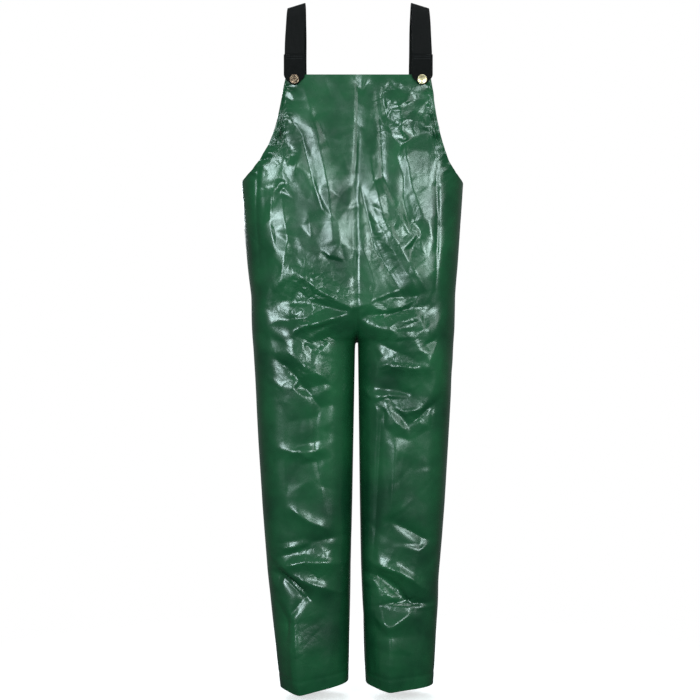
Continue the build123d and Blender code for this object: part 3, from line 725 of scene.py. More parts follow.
# %% Build a net and read its height
def net_height(at, lines, fill_height, seed):
    """The height in metres, at each (x, z) point, of the net through the lines and a scatter of points."""
    dice = random.Random(seed)
    corners, heights, edges = [], [], []
    for line in lines:
        for i, (x, z, height) in enumerate(line):
            corners.append((x, z))
            heights.append(height / 1000)
            if i:
                edges.append((len(corners) - 2, len(corners) - 1))
    taken = np.array(corners)
    for z in np.arange(hem - 0.06, bib_top + 0.06, 0.042):
        for x in np.arange(-0.30, 0.301, 0.042):
            spot = (x + dice.uniform(-0.016, 0.016), z + dice.uniform(-0.016, 0.016))
            lift = dice.uniform(-1, 1) * fill_height
            if np.hypot(*(taken - spot).T).min() > 0.017:
                corners.append(spot)
                heights.append(lift)
    found, _, faces, origins, _, _ = delaunay_2d_cdt([Vector(c) for c in corners], edges, [], 0, 1e-5)
    known = np.array(corners)
    level = []
    for spot, origin in zip(found, origins):
        if origin:
            level.append(heights[origin[0]])
        else:
            near = np.argsort(np.hypot(*(known - np.array(spot)).T))[:2]
            level.append(np.mean([heights[i] for i in near]))
    found, level = np.array(found), np.array(level)
    lifted = np.zeros(len(at))
    for a, b, c in faces:
        box = found[[a, b, c]]
        inside = np.flatnonzero(np.all((at >= box.min(axis=0)) & (at <= box.max(axis=0)), axis=1))
        if not len(inside):
            continue
        edge_1, edge_2, reach = box[1] - box[0], box[2] - box[0], at[inside] - box[0]
        area = edge_1[0] * edge_2[1] - edge_1[1] * edge_2[0]
        if abs(area) < 1e-10:
            continue
        u = (reach[:, 0] * edge_2[1] - reach[:, 1] * edge_2[0]) / area
        v = (edge_1[0] * reach[:, 1] - edge_1[1] * reach[:, 0]) / area
        within = (u >= -1e-6) & (v >= -1e-6) & (u + v <= 1 + 1e-6)
        lifted[inside[within]] = (level[a] + u * (level[b] - level[a]) + v * (level[c] - level[a]))[within]
    print(len(faces), "facets")
    return lifted


# %% Crisp the creases and add the small crumples
bpy.ops.object.select_all(action="DESELECT")
cloth.select_set(True)
bpy.context.view_layer.objects.active = cloth
finer = cloth.modifiers.new("finer", "SUBSURF")
finer.levels = finer.render_levels = 1
bpy.ops.object.modifier_apply(modifier=finer.name)
points, normals = read_points(cloth.data)
cut = np.zeros(len(points) * 3)
cloth.data.attributes["where_cut"].data.foreach_get("vector", cut)
cut = cut.reshape(-1, 3)
crisp = folded(points, normals, cut, 0.22, 1.0, 0.38)
back_facets = [
    [(x, z, 600 * height * (0 < i < len(line) - 1)) for i, (x, z) in enumerate(line)]
    for height, _, line in back_creases
]
front_net = net_height(cut[:, [0, 2]], front_facets, 0.0014, 11)
back_net = net_height(cut[:, [0, 2]], back_facets, 0.0030, 12)

# Small crumples are short creases at random, more of them where the cloth is worked: the lap and the knees.
dice = random.Random(4)
worked = [(-0.62, 0.11, 120), (-0.78, 0.09, 60), (-1.20, 0.08, 90), (-0.32, 0.10, 110), (-0.95, 0.20, 60)]
heights = {True: np.zeros(len(points)), False: np.zeros(len(points))}
for middle_z, spread, count in worked:
    for _ in range(count):
        front = dice.random() < 0.55
        x, z = dice.uniform(-0.20, 0.20), dice.gauss(middle_z, spread)
        turn, length = dice.uniform(0, math.pi), dice.uniform(0.015, 0.045)
        bend = turn + dice.uniform(-0.6, 0.6)
        line = [
            (x - length * math.cos(turn), z - length * math.sin(turn)),
            (x, z),
            (x + length * math.cos(bend), z + length * math.sin(bend)),
        ]
        near = np.flatnonzero(np.hypot(cut[:, 0] - x, cut[:, 2] - z) < length + 0.03)
        height = dice.choice((-1, 1)) * dice.uniform(0.0007, 0.0020)
        heights[front][near] += crease_height(cut[near][:, [0, 2]], height, dice.uniform(0.005, 0.009), line, 1.0)
to_front = np.clip(-normals[:, 1] * 2.0, 0, 1)
to_back = np.clip(normals[:, 1] * 2.0, 0, 1)
crumple = (heights[True] * 0.4 + front_net * 0.6) * to_front + (heights[False] * 0.5 + back_net) * to_back
crumple *= np.clip((bib_top - cut[:, 2]) / 0.02, 0, 1)
crisp += normals * crumple[:, None]
cloth.data.vertices.foreach_set("co", crisp.ravel())
print("finer cloth:", len(crisp), "points")

# How much each place has been crushed, from 0 to 1, for the film's fine facets.
crushed = [
    # x, z, radius across and down, strength, front (-1) or back (1)
    (-0.085, -0.615, 0.075, 0.075, 1.0, -1), (0.080, -0.665, 0.080, 0.050, 0.7, -1),
    (0.085, -0.235, 0.045, 0.070, 1.0, -1), (-0.145, -0.330, 0.035, 0.080, 0.6, -1),
    (-0.100, -0.780, 0.060, 0.060, 0.7, -1), (0.105, -0.765, 0.050, 0.030, 0.8, -1),
    (0.120, -0.860, 0.050, 0.035, 0.8, -1), (-0.105, -1.170, 0.075, 0.045, 0.8, -1),
    (0.090, -1.220, 0.070, 0.060, 0.7, -1), (-0.120, -1.330, 0.045, 0.080, 0.5, -1),
    (0.060, -0.500, 0.060, 0.080, 0.5, -1), (0.130, -0.480, 0.030, 0.100, 0.4, -1),
    (0.0, -0.620, 0.150, 0.080, 0.8, 1), (-0.100, -1.000, 0.070, 0.070, 0.7, 1),
    (0.100, -0.990, 0.070, 0.060, 0.7, 1), (0.0, -0.480, 0.180, 0.050, 0.6, 1),
    (-0.100, -1.240, 0.080, 0.060, 0.5, 1), (0.090, -1.230, 0.080, 0.060, 0.5, 1),
]
worn = np.full(len(cut), 0.08)
for x, z, across, down, strength, facing in crushed:
    spot = strength * np.exp(-(((cut[:, 0] - x) / across) ** 2) - ((cut[:, 2] - z) / down) ** 2)
    worn = np.maximum(worn, spot * (cut[:, 1] * facing > 0))
crushed_here = cloth.data.attributes.new("crushed", "FLOAT", "POINT")
crushed_here.data.foreach_set("value", worn)

# Seams are pulled in along their weld, and the hem's weld shows as a shallow line.
points, normals = read_points(cloth.data)
on_middle = np.where(cut[:, 2] > crotch, np.abs(cut[:, 0]), 9.0)
on_side = np.where(cut[:, 2] < armpit + 0.01, np.abs(cut[:, 1]), 9.0)
groove = -0.0013 * np.exp(-((on_middle / 0.0035) ** 2)) - 0.0016 * np.exp(-((on_side / 0.0045) ** 2))
groove -= 0.0008 * np.exp(-(((cut[:, 2] - hem - 0.028) / 0.0035) ** 2))

# The armhole's facing is gathered on to its curve, so the edge is crossed by small puckers.
for top, half, facing in ((bib_top, bib_half, -1), (back_top, back_half, 1)):
    for side in (-1, 1):
        for step, (x, z) in enumerate(armhole(top, half)[3:54]):
            reach = dice.uniform(0.012, 0.026)
            line = [(side * x, z), (side * (x - reach), z - dice.uniform(-0.4, 0.9) * reach)]
            away = np.hypot(cut[:, 0] - side * x, cut[:, 2] - z)
            near = np.flatnonzero((cut[:, 1] * facing > 0) & (away < 0.045))
            height = dice.choice((-1, 1)) * dice.uniform(0.0008, 0.0022)
            groove[near] += crease_height(cut[near][:, [0, 2]], height, dice.uniform(0.003, 0.005), line, 1.2)
cloth.data.vertices.foreach_set("co", (points + normals * groove[:, None]).ravel())

# %% [markdown]
# ## Coated cloth
# PVC-coated polyester: a knitted base cloth with a plastic film laid on it while hot. The film is smooth and
# glossy, so light bounces off it in sharp streaks, but it is never flat: it carries a faint orange peel and
# small crumples that break each streak up. The base cloth shows only inside, matt and paler.

# %% Coated cloth, outside
coated_cloth, tree = new_material("pvc_coated_polyester_gloss")
where = add_node(tree, "ShaderNodeTexCoord").outputs["Object"]
# The film's thickness wanders over a hand's width, which shifts its green a little.
wander = add_node(
    tree, "ShaderNodeTexNoise", {"Scale": 1 / 0.11, "Detail": 3.0, "Roughness": 0.6}, {"Vector": where}
)
green = add_node(tree, "ShaderNodeValToRGB", {}, {"Fac": wander.outputs["Fac"]})
green.color_ramp.elements[0].position = 0.30
green.color_ramp.elements[0].color = srgb("#103C26")
green.color_ramp.elements[1].position = 0.72
green.color_ramp.elements[1].color = srgb("#205C38")
# Handling scuffs the gloss in patches of a few centimetres.
scuff = add_node(
    tree, "ShaderNodeTexNoise", {"Scale": 1 / 0.045, "Detail": 5.0, "Roughness": 0.65}, {"Vector": where}
)
gloss = add_node(
    tree,
    "ShaderNodeMapRange",
    {"From Min": 0.35, "From Max": 0.70, "To Min": 0.21, "To Max": 0.32},
    {"Value": scuff.outputs["Fac"]},
)
# Where the film was crushed it keeps a net of creases with flat facets between them. Cells have just that
# shape when their height is the distance to the nearest edge: large ones of 32 mm and small ones of 12 mm.
crushed_film = add_node(tree, "ShaderNodeAttribute", {"attribute_name": "crushed"})
astray = add_node(tree, "ShaderNodeTexNoise", {"Scale": 1 / 0.05, "Detail": 2.0}, {"Vector": where})
strayed = add_node(
    tree,
    "ShaderNodeVectorMath",
    {"operation": "MULTIPLY_ADD", 1: (0.03, 0.03, 0.03)},
    {0: astray.outputs["Color"], 2: where},
)
last = None
for cell, slope in ((0.032, 0.09), (0.012, 0.06)):
    facet = add_node(
        tree,
        "ShaderNodeTexVoronoi",
        {"feature": "DISTANCE_TO_EDGE", "Scale": 1 / cell},
        {"Vector": strayed.outputs[0]},
    )
    last = add_node(
        tree,
        "ShaderNodeBump",
        {"Distance": cell * slope},
        {
            "Height": facet.outputs["Distance"],
            "Strength": crushed_film.outputs["Fac"],
            **({"Normal": last.outputs[0]} if last else {}),
        },
    )
# The coating's orange peel is about 2.5 mm across and shallow.
peel = add_node(tree, "ShaderNodeTexNoise", {"Scale": 1 / 0.0025, "Detail": 2.0}, {"Vector": where})
small = add_node(
    tree,
    "ShaderNodeBump",
    {"Strength": 0.25, "Distance": 0.00005},
    {"Height": peel.outputs["Fac"], "Normal": last.outputs[0]},
)
film = add_node(
    tree,
    "ShaderNodeBsdfPrincipled",
    {"IOR": 1.52},
    {"Base Color": green.outputs["Color"], "Roughness": gloss.outputs[0], "Normal": small.outputs[0]},
)
add_node(tree, "ShaderNodeOutputMaterial", {}, {"Surface": film.outputs[0]})

# %% Coated cloth, inside
# Warp-knitted polyester, dyed with the film: matt, with fine wales about 1.5 mm apart.
knitted_side, tree = new_material("knitted_polyester_backing")
where = add_node(tree, "ShaderNodeTexCoord").outputs["Object"]
wales = add_node(
    tree,
    "ShaderNodeTexWave",
    {"wave_type": "BANDS", "bands_direction": "X", "Scale": 0.314 / 0.0015, "Distortion": 0.6},
    {"Vector": where},
)
shade = add_node(tree, "ShaderNodeValToRGB", {}, {"Fac": wales.outputs["Fac"]})
shade.color_ramp.elements[0].color = srgb("#1C3D2C")
shade.color_ramp.elements[1].color = srgb("#2E5A42")
raised = add_node(tree, "ShaderNodeBump", {"Strength": 0.6, "Distance": 0.0002}, {"Height": wales.outputs["Fac"]})
knit = add_node(
    tree,
    "ShaderNodeBsdfPrincipled",
    {"Roughness": 0.88, "Specular IOR Level": 0.25, "Sheen Weight": 0.15},
    {"Base Color": shade.outputs["Color"], "Normal": raised.outputs[0]},
)
add_node(tree, "ShaderNodeOutputMaterial", {}, {"Surface": knit.outputs[0]})

# %% Seam tape
# Heat-sealed polyurethane tape: a thin satin film, darker than the cloth, with the seam's stitches pressed
# through it as a faint ripple.
sealed_tape, tree = new_material("heat_sealed_seam_tape")
where = add_node(tree, "ShaderNodeTexCoord").outputs["Object"]
mottle = add_node(tree, "ShaderNodeTexNoise", {"Scale": 1 / 0.012, "Detail": 3.0}, {"Vector": where})
tint = add_node(tree, "ShaderNodeValToRGB", {}, {"Fac": mottle.outputs["Fac"]})
tint.color_ramp.elements[0].color = srgb("#16322A")
tint.color_ramp.elements[1].color = srgb("#254A3A")
ripple = add_node(tree, "ShaderNodeBump", {"Strength": 0.5, "Distance": 0.0003}, {"Height": mottle.outputs["Fac"]})
sealed = add_node(
    tree,
    "ShaderNodeBsdfPrincipled",
    {"Roughness": 0.42},
    {"Base Color": tint.outputs["Color"], "Normal": ripple.outputs[0]},
)
add_node(tree, "ShaderNodeOutputMaterial", {}, {"Surface": sealed.outputs[0]})

# %% [markdown]
# ## Panels, hems and tapes
# The draped cloth is one skin. Every real piece is now taken from it: four panels, and inside them the hems,
# facings, tapes and patches. Each is a copy of the skin with the other faces deleted, pushed in to its own
# layer and given its thickness, so that all of them follow the same folds.

# %% Cut a piece from the draped cloth
corners = np.array([p.vertices for p in cloth.data.polygons])
face_cut = cut[corners].mean(axis=1)
x_cut, y_cut, z_cut = face_cut.T


def cut_piece(node, keep, layer, thickness, outside, inside):
    """A piece for one CAD node: the kept faces, at a layer's depth under the skin, with a wall."""
    bpy.ops.object.select_all(action="DESELECT")
    piece = cloth.copy()
    piece.data = cloth.data.copy()
    piece.name = piece.data.name = node + "_cloth"
    bpy.context.scene.collection.objects.link(piece)
    bpy.context.view_layer.objects.active = piece
    piece.select_set(True)
    points, normals = read_points(piece.data)
    piece.data.vertices.foreach_set("co", (points - normals * layer).ravel())
    bpy.ops.object.mode_set(mode="EDIT")
    bpy.ops.mesh.select_mode(type="FACE")
    bpy.ops.mesh.select_all(action="DESELECT")
    bpy.ops.object.mode_set(mode="OBJECT")
    piece.data.polygons.foreach_set("select", ~keep)
    bpy.ops.object.mode_set(mode="EDIT")
    bpy.ops.mesh.delete(type="FACE")
    bpy.ops.object.mode_set(mode="OBJECT")
    piece.data.materials.clear()
    piece.data.materials.append(outside)
    piece.data.materials.append(inside)
    wall = piece.modifiers.new("wall", "SOLIDIFY")
    wall.thickness = thickness
    wall.offset = -1
    wall.material_offset = 1
    bpy.ops.object.modifier_apply(modifier=wall.name)
    bpy.ops.object.shade_smooth_by_angle(angle=math.radians(50))
    piece.data.attributes.remove(piece.data.attributes["where_cut"])
    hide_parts(node)
    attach(piece, "garment")
    return piece


# %% Four panels
cloth_wall = 0.0007
for side_name, side in (("left", 1), ("right", -1)):
    for face_name, facing in (("front", -1), ("back", 1)):
        keep = (x_cut * side > 0) & (y_cut * facing > 0)
        node = f"{side_name}_{face_name}_panel"
        piece = cut_piece(node, keep, 0.0, cloth_wall, coated_cloth, knitted_side)

# %% Hems, facings, tapes and patches
tape_half = 0.012
facing_depth = 0.026
front, back = y_cut < 0, y_cut > 0
on_tape = (np.abs(x_cut) < tape_half) & (z_cut > crotch + 0.032)
upper = {True: (bib_top, bib_half), False: (back_top, back_half)}


def near_armhole(facing_front, depth):
    """The faces within depth of one panel's armhole edge, outside its top facing."""
    top, half = upper[facing_front]
    curve = armhole(top, half)
    away = np.full(len(x_cut), 9.0)
    for x, z in curve[::2]:
        away = np.minimum(away, np.hypot(np.abs(x_cut) - x, z_cut - z))
    below_facing = z_cut < top - facing_depth
    return (front if facing_front else back) & (away < depth) & below_facing


strips = {
    "bib_top_facing": front & (z_cut > bib_top - facing_depth) & (np.abs(x_cut) < bib_half),
    "back_top_facing": back & (z_cut > back_top - facing_depth) & (np.abs(x_cut) < back_half),
    "centre_front_seam_tape": front & on_tape & (z_cut < bib_top - facing_depth),
    "centre_back_seam_tape": back & on_tape & (z_cut < back_top - facing_depth),
    "crotch_gusset": (np.abs(x_cut) < 0.030) & (np.abs(z_cut - crotch) < 0.030),
}
for side_name, side in (("left", 1), ("right", -1)):
    mine = x_cut * side > 0
    away_from_stud = np.maximum(np.abs(x_cut * side - 0.131), 0)
    girth_half = np.interp(z_cut, [hem, crotch], [0.09, 0.10])
    strips.update({
        f"{side_name}_armhole_facing": mine & (near_armhole(True, 0.015) | near_armhole(False, 0.015)),
        f"{side_name}_side_seam_tape": mine & (np.abs(y_cut) < tape_half) & (x_cut * side > girth_half)
        & (z_cut < armpit - 0.002) & (z_cut > hem + 0.028),
        f"{side_name}_inseam_tape": mine & (np.abs(y_cut) < tape_half) & (x_cut * side < girth_half)
        & (z_cut < crotch - 0.031) & (z_cut > hem + 0.028),
        f"{side_name}_leg_hem": mine & (z_cut < hem + 0.028),
        f"{side_name}_stud_patch": front & (away_from_stud < 0.012) & (z_cut > bib_top - 0.024),
        f"{side_name}_brace_anchor_patch": back & (away_from_stud < 0.028) & (z_cut > back_top - 0.056),
    })
for node, keep in strips.items():
    patch = node.endswith("patch")
    layer = cloth_wall + (0.0009 if patch else 0.0002)
    cover = sealed_tape if "tape" in node or "gusset" in node else knitted_side
    cut_piece(node, keep, layer, 0.0005, cover, cover)

bpy.data.objects.remove(cloth)

# %% [markdown]
# ## Braces
# Each brace is one 40 mm strip of woven elastic. It is stitched flat on the back panel, goes over the shoulder
# and comes down to the bib. A shoulder slopes, so at its top the strip leans in towards the neck.
# Its rows are laid along the CAD route.

# %% Woven elastic and webbing
def woven(name, rib_coordinate, along_coordinate, rib_width, pick_width):
    """A black woven strip: ribs along it and picks across it, at their real spacing in the given coordinates."""
    material, tree = new_material(name)
    source = add_node(tree, "ShaderNodeTexCoord").outputs["UV" if rib_coordinate == "uv" else "Object"]
    ribs = add_node(
        tree,
        "ShaderNodeTexWave",
        {"wave_type": "BANDS", "bands_direction": "X", "Scale": 0.314 / rib_width},
        {"Vector": source},
    )
    picks = add_node(
        tree,
        "ShaderNodeTexWave",
        {"wave_type": "BANDS", "bands_direction": along_coordinate, "Scale": 0.314 / pick_width, "Distortion": 0.4},
        {"Vector": source},
    )
    cloth_height = add_node(
        tree, "ShaderNodeMath", {"operation": "MULTIPLY"}, {0: ribs.outputs["Fac"], 1: picks.outputs["Fac"]}
    )
    fuzz = add_node(tree, "ShaderNodeTexNoise", {"Scale": 240.0, "Detail": 3.0}, {"Vector": source})
    both = add_node(
        tree, "ShaderNodeMath", {"operation": "ADD"}, {0: cloth_height.outputs[0], 1: fuzz.outputs["Fac"]}
    )
    colour = add_node(tree, "ShaderNodeValToRGB", {}, {"Fac": both.outputs[0]})
    colour.color_ramp.elements[0].position = 0.3
    colour.color_ramp.elements[0].color = srgb("#060606")
    colour.color_ramp.elements[1].position = 1.4 / 1.5
    colour.color_ramp.elements[1].color = srgb("#151515")
    raised = add_node(tree, "ShaderNodeBump", {"Strength": 0.8, "Distance": 0.0005}, {"Height": cloth_height.outputs[0]})
    thread = add_node(
        tree,
        "ShaderNodeBsdfPrincipled",
        {"Roughness": 0.88, "Specular IOR Level": 0.16, "Sheen Weight": 0.02, "Sheen Roughness": 0.4},
        {"Base Color": colour.outputs["Color"], "Normal": raised.outputs[0]},
    )
    add_node(tree, "ShaderNodeOutputMaterial", {}, {"Surface": thread.outputs[0]})
    return material


# Elastic has rubber cores every 2.5 mm across and a pick every 1.2 mm; the tab's webbing is finer.
elastic_weave = woven("woven_elastic_black", "uv", "Y", 0.0025, 0.0012)
webbing_weave = woven("woven_webbing_black", "object", "Z", 0.0020, 0.0010)

# %% Work out the brace's route
tab_low, tab_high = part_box("left_brace_tab")
front_low, front_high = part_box("left_brace_front_elastic")
back_low, back_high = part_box("left_brace_back_elastic")
brace_x = (front_low[0] + front_high[0]) / 2
strip_width = front_high[0] - front_low[0]
strip = 0.0018
shoulder = 0.075
lean = math.radians(17)  # slope of the shoulder under the brace
lean_in = {"left": 0.000, "right": 0.001}  # how far the top of each brace lies nearer the neck


def on_shoulder(outside, turning):
    """The angle on the shoulder's round where a straight run from an outside (y, z) point meets it."""
    y, z = outside[0], outside[1] + shoulder
    return math.atan2(z, y) + turning * math.acos((shoulder + strip / 2) / math.hypot(y, z))


at_tab = ((tab_low[1] + tab_high[1]) / 2, front_low[2])
at_lap = (back_high[1] - strip / 2, back_top + strip)
lap_end = (back_high[1] - strip / 2, back_low[2])
first = on_shoulder(at_tab, -1) % (2 * math.pi)
last = on_shoulder(at_lap, 1)
round_part = [
    ((shoulder + strip / 2) * math.cos(a), (shoulder + strip / 2) * math.sin(a) - shoulder)
    for a in np.linspace(first, last, 40)
]
route = np.array([at_tab, *round_part, at_lap, lap_end])
steps = np.hypot(*np.diff(route, axis=0).T)
distance = np.concatenate([[0], np.cumsum(steps)])
brace_rows = 121
even = np.linspace(0, distance[-1], brace_rows)
route = np.array([np.interp(even, distance, route[:, i]) for i in (0, 1)]).T
print(f"brace: {distance[-1] * 1000:.0f} mm of elastic from the tab to the end of its lap")

# %% Weave the braces
brace_columns = 13
for side_name, side in (("left", 1), ("right", -1)):
    bpy.ops.object.select_all(action="DESELECT")
    bpy.ops.mesh.primitive_grid_add(x_subdivisions=brace_columns - 1, y_subdivisions=brace_rows - 1, size=1.0)
    elastic = bpy.context.object
    elastic.name = elastic.data.name = f"{side_name}_brace_elastic"
    grid = np.array([v.co for v in elastic.data.vertices])
    out = grid[:, 0]  # from -0.5 at the neck edge to 0.5 at the arm edge
    row = np.rint((0.5 - grid[:, 1]) * (brace_rows - 1)).astype(int)
    y, z = route[row].T
    high = np.clip((z + 0.100) / 0.100, 0, 1)
    high = high * high * (3 - 2 * high)
    # Elastic under a little tension draws in at its middle, and no edge is quite straight.
    narrow = 1 - 0.02 * np.sin(np.pi * row / brace_rows) + 0.006 * np.sin(row * 0.31 + side)
    x = side * (brace_x - lean_in[side_name] * high + out * strip_width * narrow * np.cos(lean * high))
    z = z - out * strip_width * np.sin(lean * high)
    elastic.data.vertices.foreach_set("co", np.array([x, y, z]).T.ravel())
    # The weave follows the strip, so the texture map is laid in metres along and across it.
    lengths = np.array([out * strip_width, even[row]]).T
    for loop in elastic.data.loops:
        elastic.data.uv_layers[0].data[loop.index].uv = lengths[loop.vertex_index]
    bpy.ops.object.mode_set(mode="EDIT")
    bpy.ops.mesh.select_all(action="SELECT")
    bpy.ops.mesh.normals_make_consistent(inside=False)
    bpy.ops.object.mode_set(mode="OBJECT")
    wall = elastic.modifiers.new("wall", "SOLIDIFY")
    wall.thickness = strip
    wall.offset = 0
    bpy.ops.object.modifier_apply(modifier=wall.name)
    edge = elastic.modifiers.new("rolled edge", "BEVEL")
    edge.width = 0.0006
    edge.segments = 2
    edge.limit_method = "ANGLE"
    edge.angle_limit = math.radians(60)
    bpy.ops.object.modifier_apply(modifier=edge.name)
    bpy.ops.object.shade_smooth_by_angle(angle=math.radians(40))
    elastic.data.materials.append(elastic_weave)
    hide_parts(f"{side_name}_brace_front_elastic", f"{side_name}_brace_back_elastic")
    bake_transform(elastic)
    print(elastic.name, len(elastic.data.polygons), "faces")

# %% [markdown]
# ## Tabs
# The brace's end is turned back on itself and stitched down, which makes a stiff double tab. Its lower corners
# are cut off towards the stud, so that they don't catch.

# %% Shape one tab
tab_half = (tab_high[0] - tab_low[0]) / 2
stud_z = (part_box("left_snap_cap")[0][2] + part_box("left_snap_cap")[1][2]) / 2
tab_length = tab_high[2] - tab_low[2]


def doubled_tab(side_name, side):
    bpy.ops.object.select_all(action="DESELECT")
    bpy.ops.mesh.primitive_plane_add(
        size=1.0, location=(side * brace_x, tab_high[1], (tab_low[2] + tab_high[2]) / 2), rotation=(math.pi / 2, 0, 0)
    )
    tab = bpy.context.object
    tab.name = tab.data.name = f"{side_name}_tab_webbing"
    tab.scale = (2 * tab_half, tab_length, 1)
    bpy.ops.object.transform_apply(location=True, rotation=True, scale=True)
    bpy.ops.object.mode_set(mode="EDIT")
    bpy.ops.mesh.select_mode(type="VERT")
    bpy.ops.mesh.select_all(action="DESELECT")
    bpy.ops.object.mode_set(mode="OBJECT")
    for v in tab.data.vertices:
        v.select = v.co.z < tab_low[2] + 0.001
    bpy.ops.object.mode_set(mode="EDIT")
    bpy.ops.mesh.bevel(affect="VERTICES", offset=0.0165, segments=1)
    bpy.ops.object.mode_set(mode="OBJECT")
    for v in tab.data.vertices:
        v.select = v.co.z < tab_low[2] + 0.001
    bpy.ops.object.mode_set(mode="EDIT")
    bpy.ops.mesh.bevel(affect="VERTICES", offset=0.005, segments=5)
    bpy.ops.mesh.select_all(action="SELECT")
    bpy.ops.mesh.extrude_region_move(TRANSFORM_OT_translate={"value": (0, tab_low[1] - tab_high[1], 0)})
    bpy.ops.mesh.select_all(action="SELECT")
    bpy.ops.mesh.normals_make_consistent(inside=False)
    bpy.ops.object.mode_set(mode="OBJECT")
    rounded = tab.modifiers.new("soft edge", "BEVEL")
    rounded.width = 0.0008
    rounded.segments = 3
    bpy.ops.object.modifier_apply(modifier=rounded.name)
    bpy.ops.object.shade_smooth_by_angle(angle=math.radians(35))
    tab.data.materials.append(webbing_weave)
    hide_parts(f"{side_name}_brace_tab")
    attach(tab, f"{side_name}_brace_end")
    return tab


tabs = {side_name: doubled_tab(side_name, side) for side_name, side in (("left", 1), ("right", -1))}
print("tab", len(tabs["left"].data.polygons), "faces")

# %% [markdown]
# ## Stitching
# Thick bonded nylon thread, in stitches 3.5 mm long. One stitch is modelled and copied along each line.

# %% Bonded thread
bonded_thread, tree = new_material("bonded_nylon_thread_black")
where = add_node(tree, "ShaderNodeTexCoord").outputs["Object"]
twist = add_node(tree, "ShaderNodeTexNoise", {"Scale": 1 / 0.0008, "Detail": 2.0}, {"Vector": where})
dye = add_node(tree, "ShaderNodeValToRGB", {}, {"Fac": twist.outputs["Fac"]})
dye.color_ramp.elements[0].color = srgb("#18181A")
dye.color_ramp.elements[1].color = srgb("#3A3A3E")
strand = add_node(tree, "ShaderNodeBsdfPrincipled", {"Roughness": 0.45}, {"Base Color": dye.outputs["Color"]})
add_node(tree, "ShaderNodeOutputMaterial", {}, {"Surface": strand.outputs[0]})

# %% Sew lines of stitches
stitch_length, stitch_gap, thread = 0.0035, 0.0010, 0.0007


def sew(name, lines, face_y, outwards, body):
    """Stitches along (x, z) lines on a face that looks along Y."""
    bpy.ops.object.select_all(action="DESELECT")
    made = []
    for start, end in lines:
        start, end = Vector((start[0], 0, start[1])), Vector((end[0], 0, end[1]))
        run = end - start
        count = max(1, int(run.length / (stitch_length + stitch_gap)))
        for i in range(count):
            at = start + run * ((i + 0.5) / count)
            bpy.ops.mesh.primitive_uv_sphere_add(
                segments=6,
                ring_count=4,
                radius=0.5,
                location=(at.x, face_y + outwards * thread * 0.15, at.z),
                rotation=(0, math.atan2(run.x, run.z), 0),
                scale=(thread, thread, stitch_length),
            )
            made.append(bpy.context.object)
    for stitch in made:
        stitch.select_set(True)
    bpy.context.view_layer.objects.active = made[0]
    bpy.ops.object.join()
    sewn = bpy.context.object
    sewn.name = sewn.data.name = name
    bpy.ops.object.transform_apply(location=True, rotation=True, scale=True)
    bpy.ops.object.shade_smooth()
    sewn.data.materials.append(bonded_thread)
    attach(sewn, body)
    print(name, len(made), "stitches")


for side_name, side in (("left", 1), ("right", -1)):
    x0, x1 = side * (brace_x - strip_width / 2 + 0.003), side * (brace_x + strip_width / 2 - 0.003)
    top, low = tab_high[2] - 0.004, tab_high[2] - 0.009
    sew(f"{side_name}_tab_stitching", [((x0, top), (x1, top)), ((x0, low), (x1, low))], tab_low[1], -1,
        f"{side_name}_brace_end")
    top, low = back_top - 0.004, back_low[2] + 0.004
    box_and_cross = [
        ((x0, top), (x1, top)), ((x1, top), (x1, low)), ((x1, low), (x0, low)), ((x0, low), (x0, top)),
        ((x0, top), (x1, low)), ((x1, top), (x0, low)),
    ]
    sew(f"{side_name}_lap_stitching", box_and_cross, back_high[1], 1, "garment")

# %% [markdown]
# ## Press studs
# Brass snap fasteners: a ball stud riveted through the bib, and a socket and a domed cap riveted through the
# tab. The working parts keep their CAD shapes, and only the cap is made again, with its rolled rim.

# %% Brass and spring wire
drawn_brass, tree = new_material("drawn_brass_polished")
where = add_node(tree, "ShaderNodeTexCoord").outputs["Object"]
stain = add_node(
    tree, "ShaderNodeTexNoise", {"Scale": 1 / 0.004, "Detail": 5.0, "Roughness": 0.7}, {"Vector": where}
)
tone = add_node(tree, "ShaderNodeValToRGB", {}, {"Fac": stain.outputs["Fac"]})
tone.color_ramp.elements[0].position = 0.35
tone.color_ramp.elements[0].color = srgb("#B49A6C")
tone.color_ramp.elements[1].position = 0.6
tone.color_ramp.elements[1].color = srgb("#EADBB4")
dull = add_node(
    tree,
    "ShaderNodeMapRange",
    {"From Min": 0.3, "From Max": 0.7, "To Min": 0.42, "To Max": 0.24},
    {"Value": stain.outputs["Fac"]},
)
brass = add_node(
    tree,
    "ShaderNodeBsdfPrincipled",
    {"Metallic": 1.0},
    {"Base Color": tone.outputs["Color"], "Roughness": dull.outputs[0]},
)
add_node(tree, "ShaderNodeOutputMaterial", {}, {"Surface": brass.outputs[0]})

# The right cap's brass is a darker brown, in random blotches, and its middle is sunk.
dark_brown_brass, tree = new_material("brass_dark_brown")
where = add_node(tree, "ShaderNodeTexCoord").outputs["Object"]
blotch = add_node(
    tree, "ShaderNodeTexNoise", {"Scale": 1 / 0.0022, "Detail": 5.0, "Roughness": 0.7}, {"Vector": where}
)
brown_blotches = add_node(tree, "ShaderNodeValToRGB", {}, {"Fac": blotch.outputs["Fac"]})
brown_blotches.color_ramp.elements[0].position = 0.42
brown_blotches.color_ramp.elements[0].color = srgb("#3B2A22")
brown_blotches.color_ramp.elements[1].position = 0.60
brown_blotches.color_ramp.elements[1].color = srgb("#A98E78")
dark_brass_bsdf = add_node(
    tree,
    "ShaderNodeBsdfPrincipled",
    {"Metallic": 1.0, "Roughness": 0.38},
    {"Base Color": brown_blotches.outputs["Color"]},
)
add_node(tree, "ShaderNodeOutputMaterial", {}, {"Surface": dark_brass_bsdf.outputs[0]})

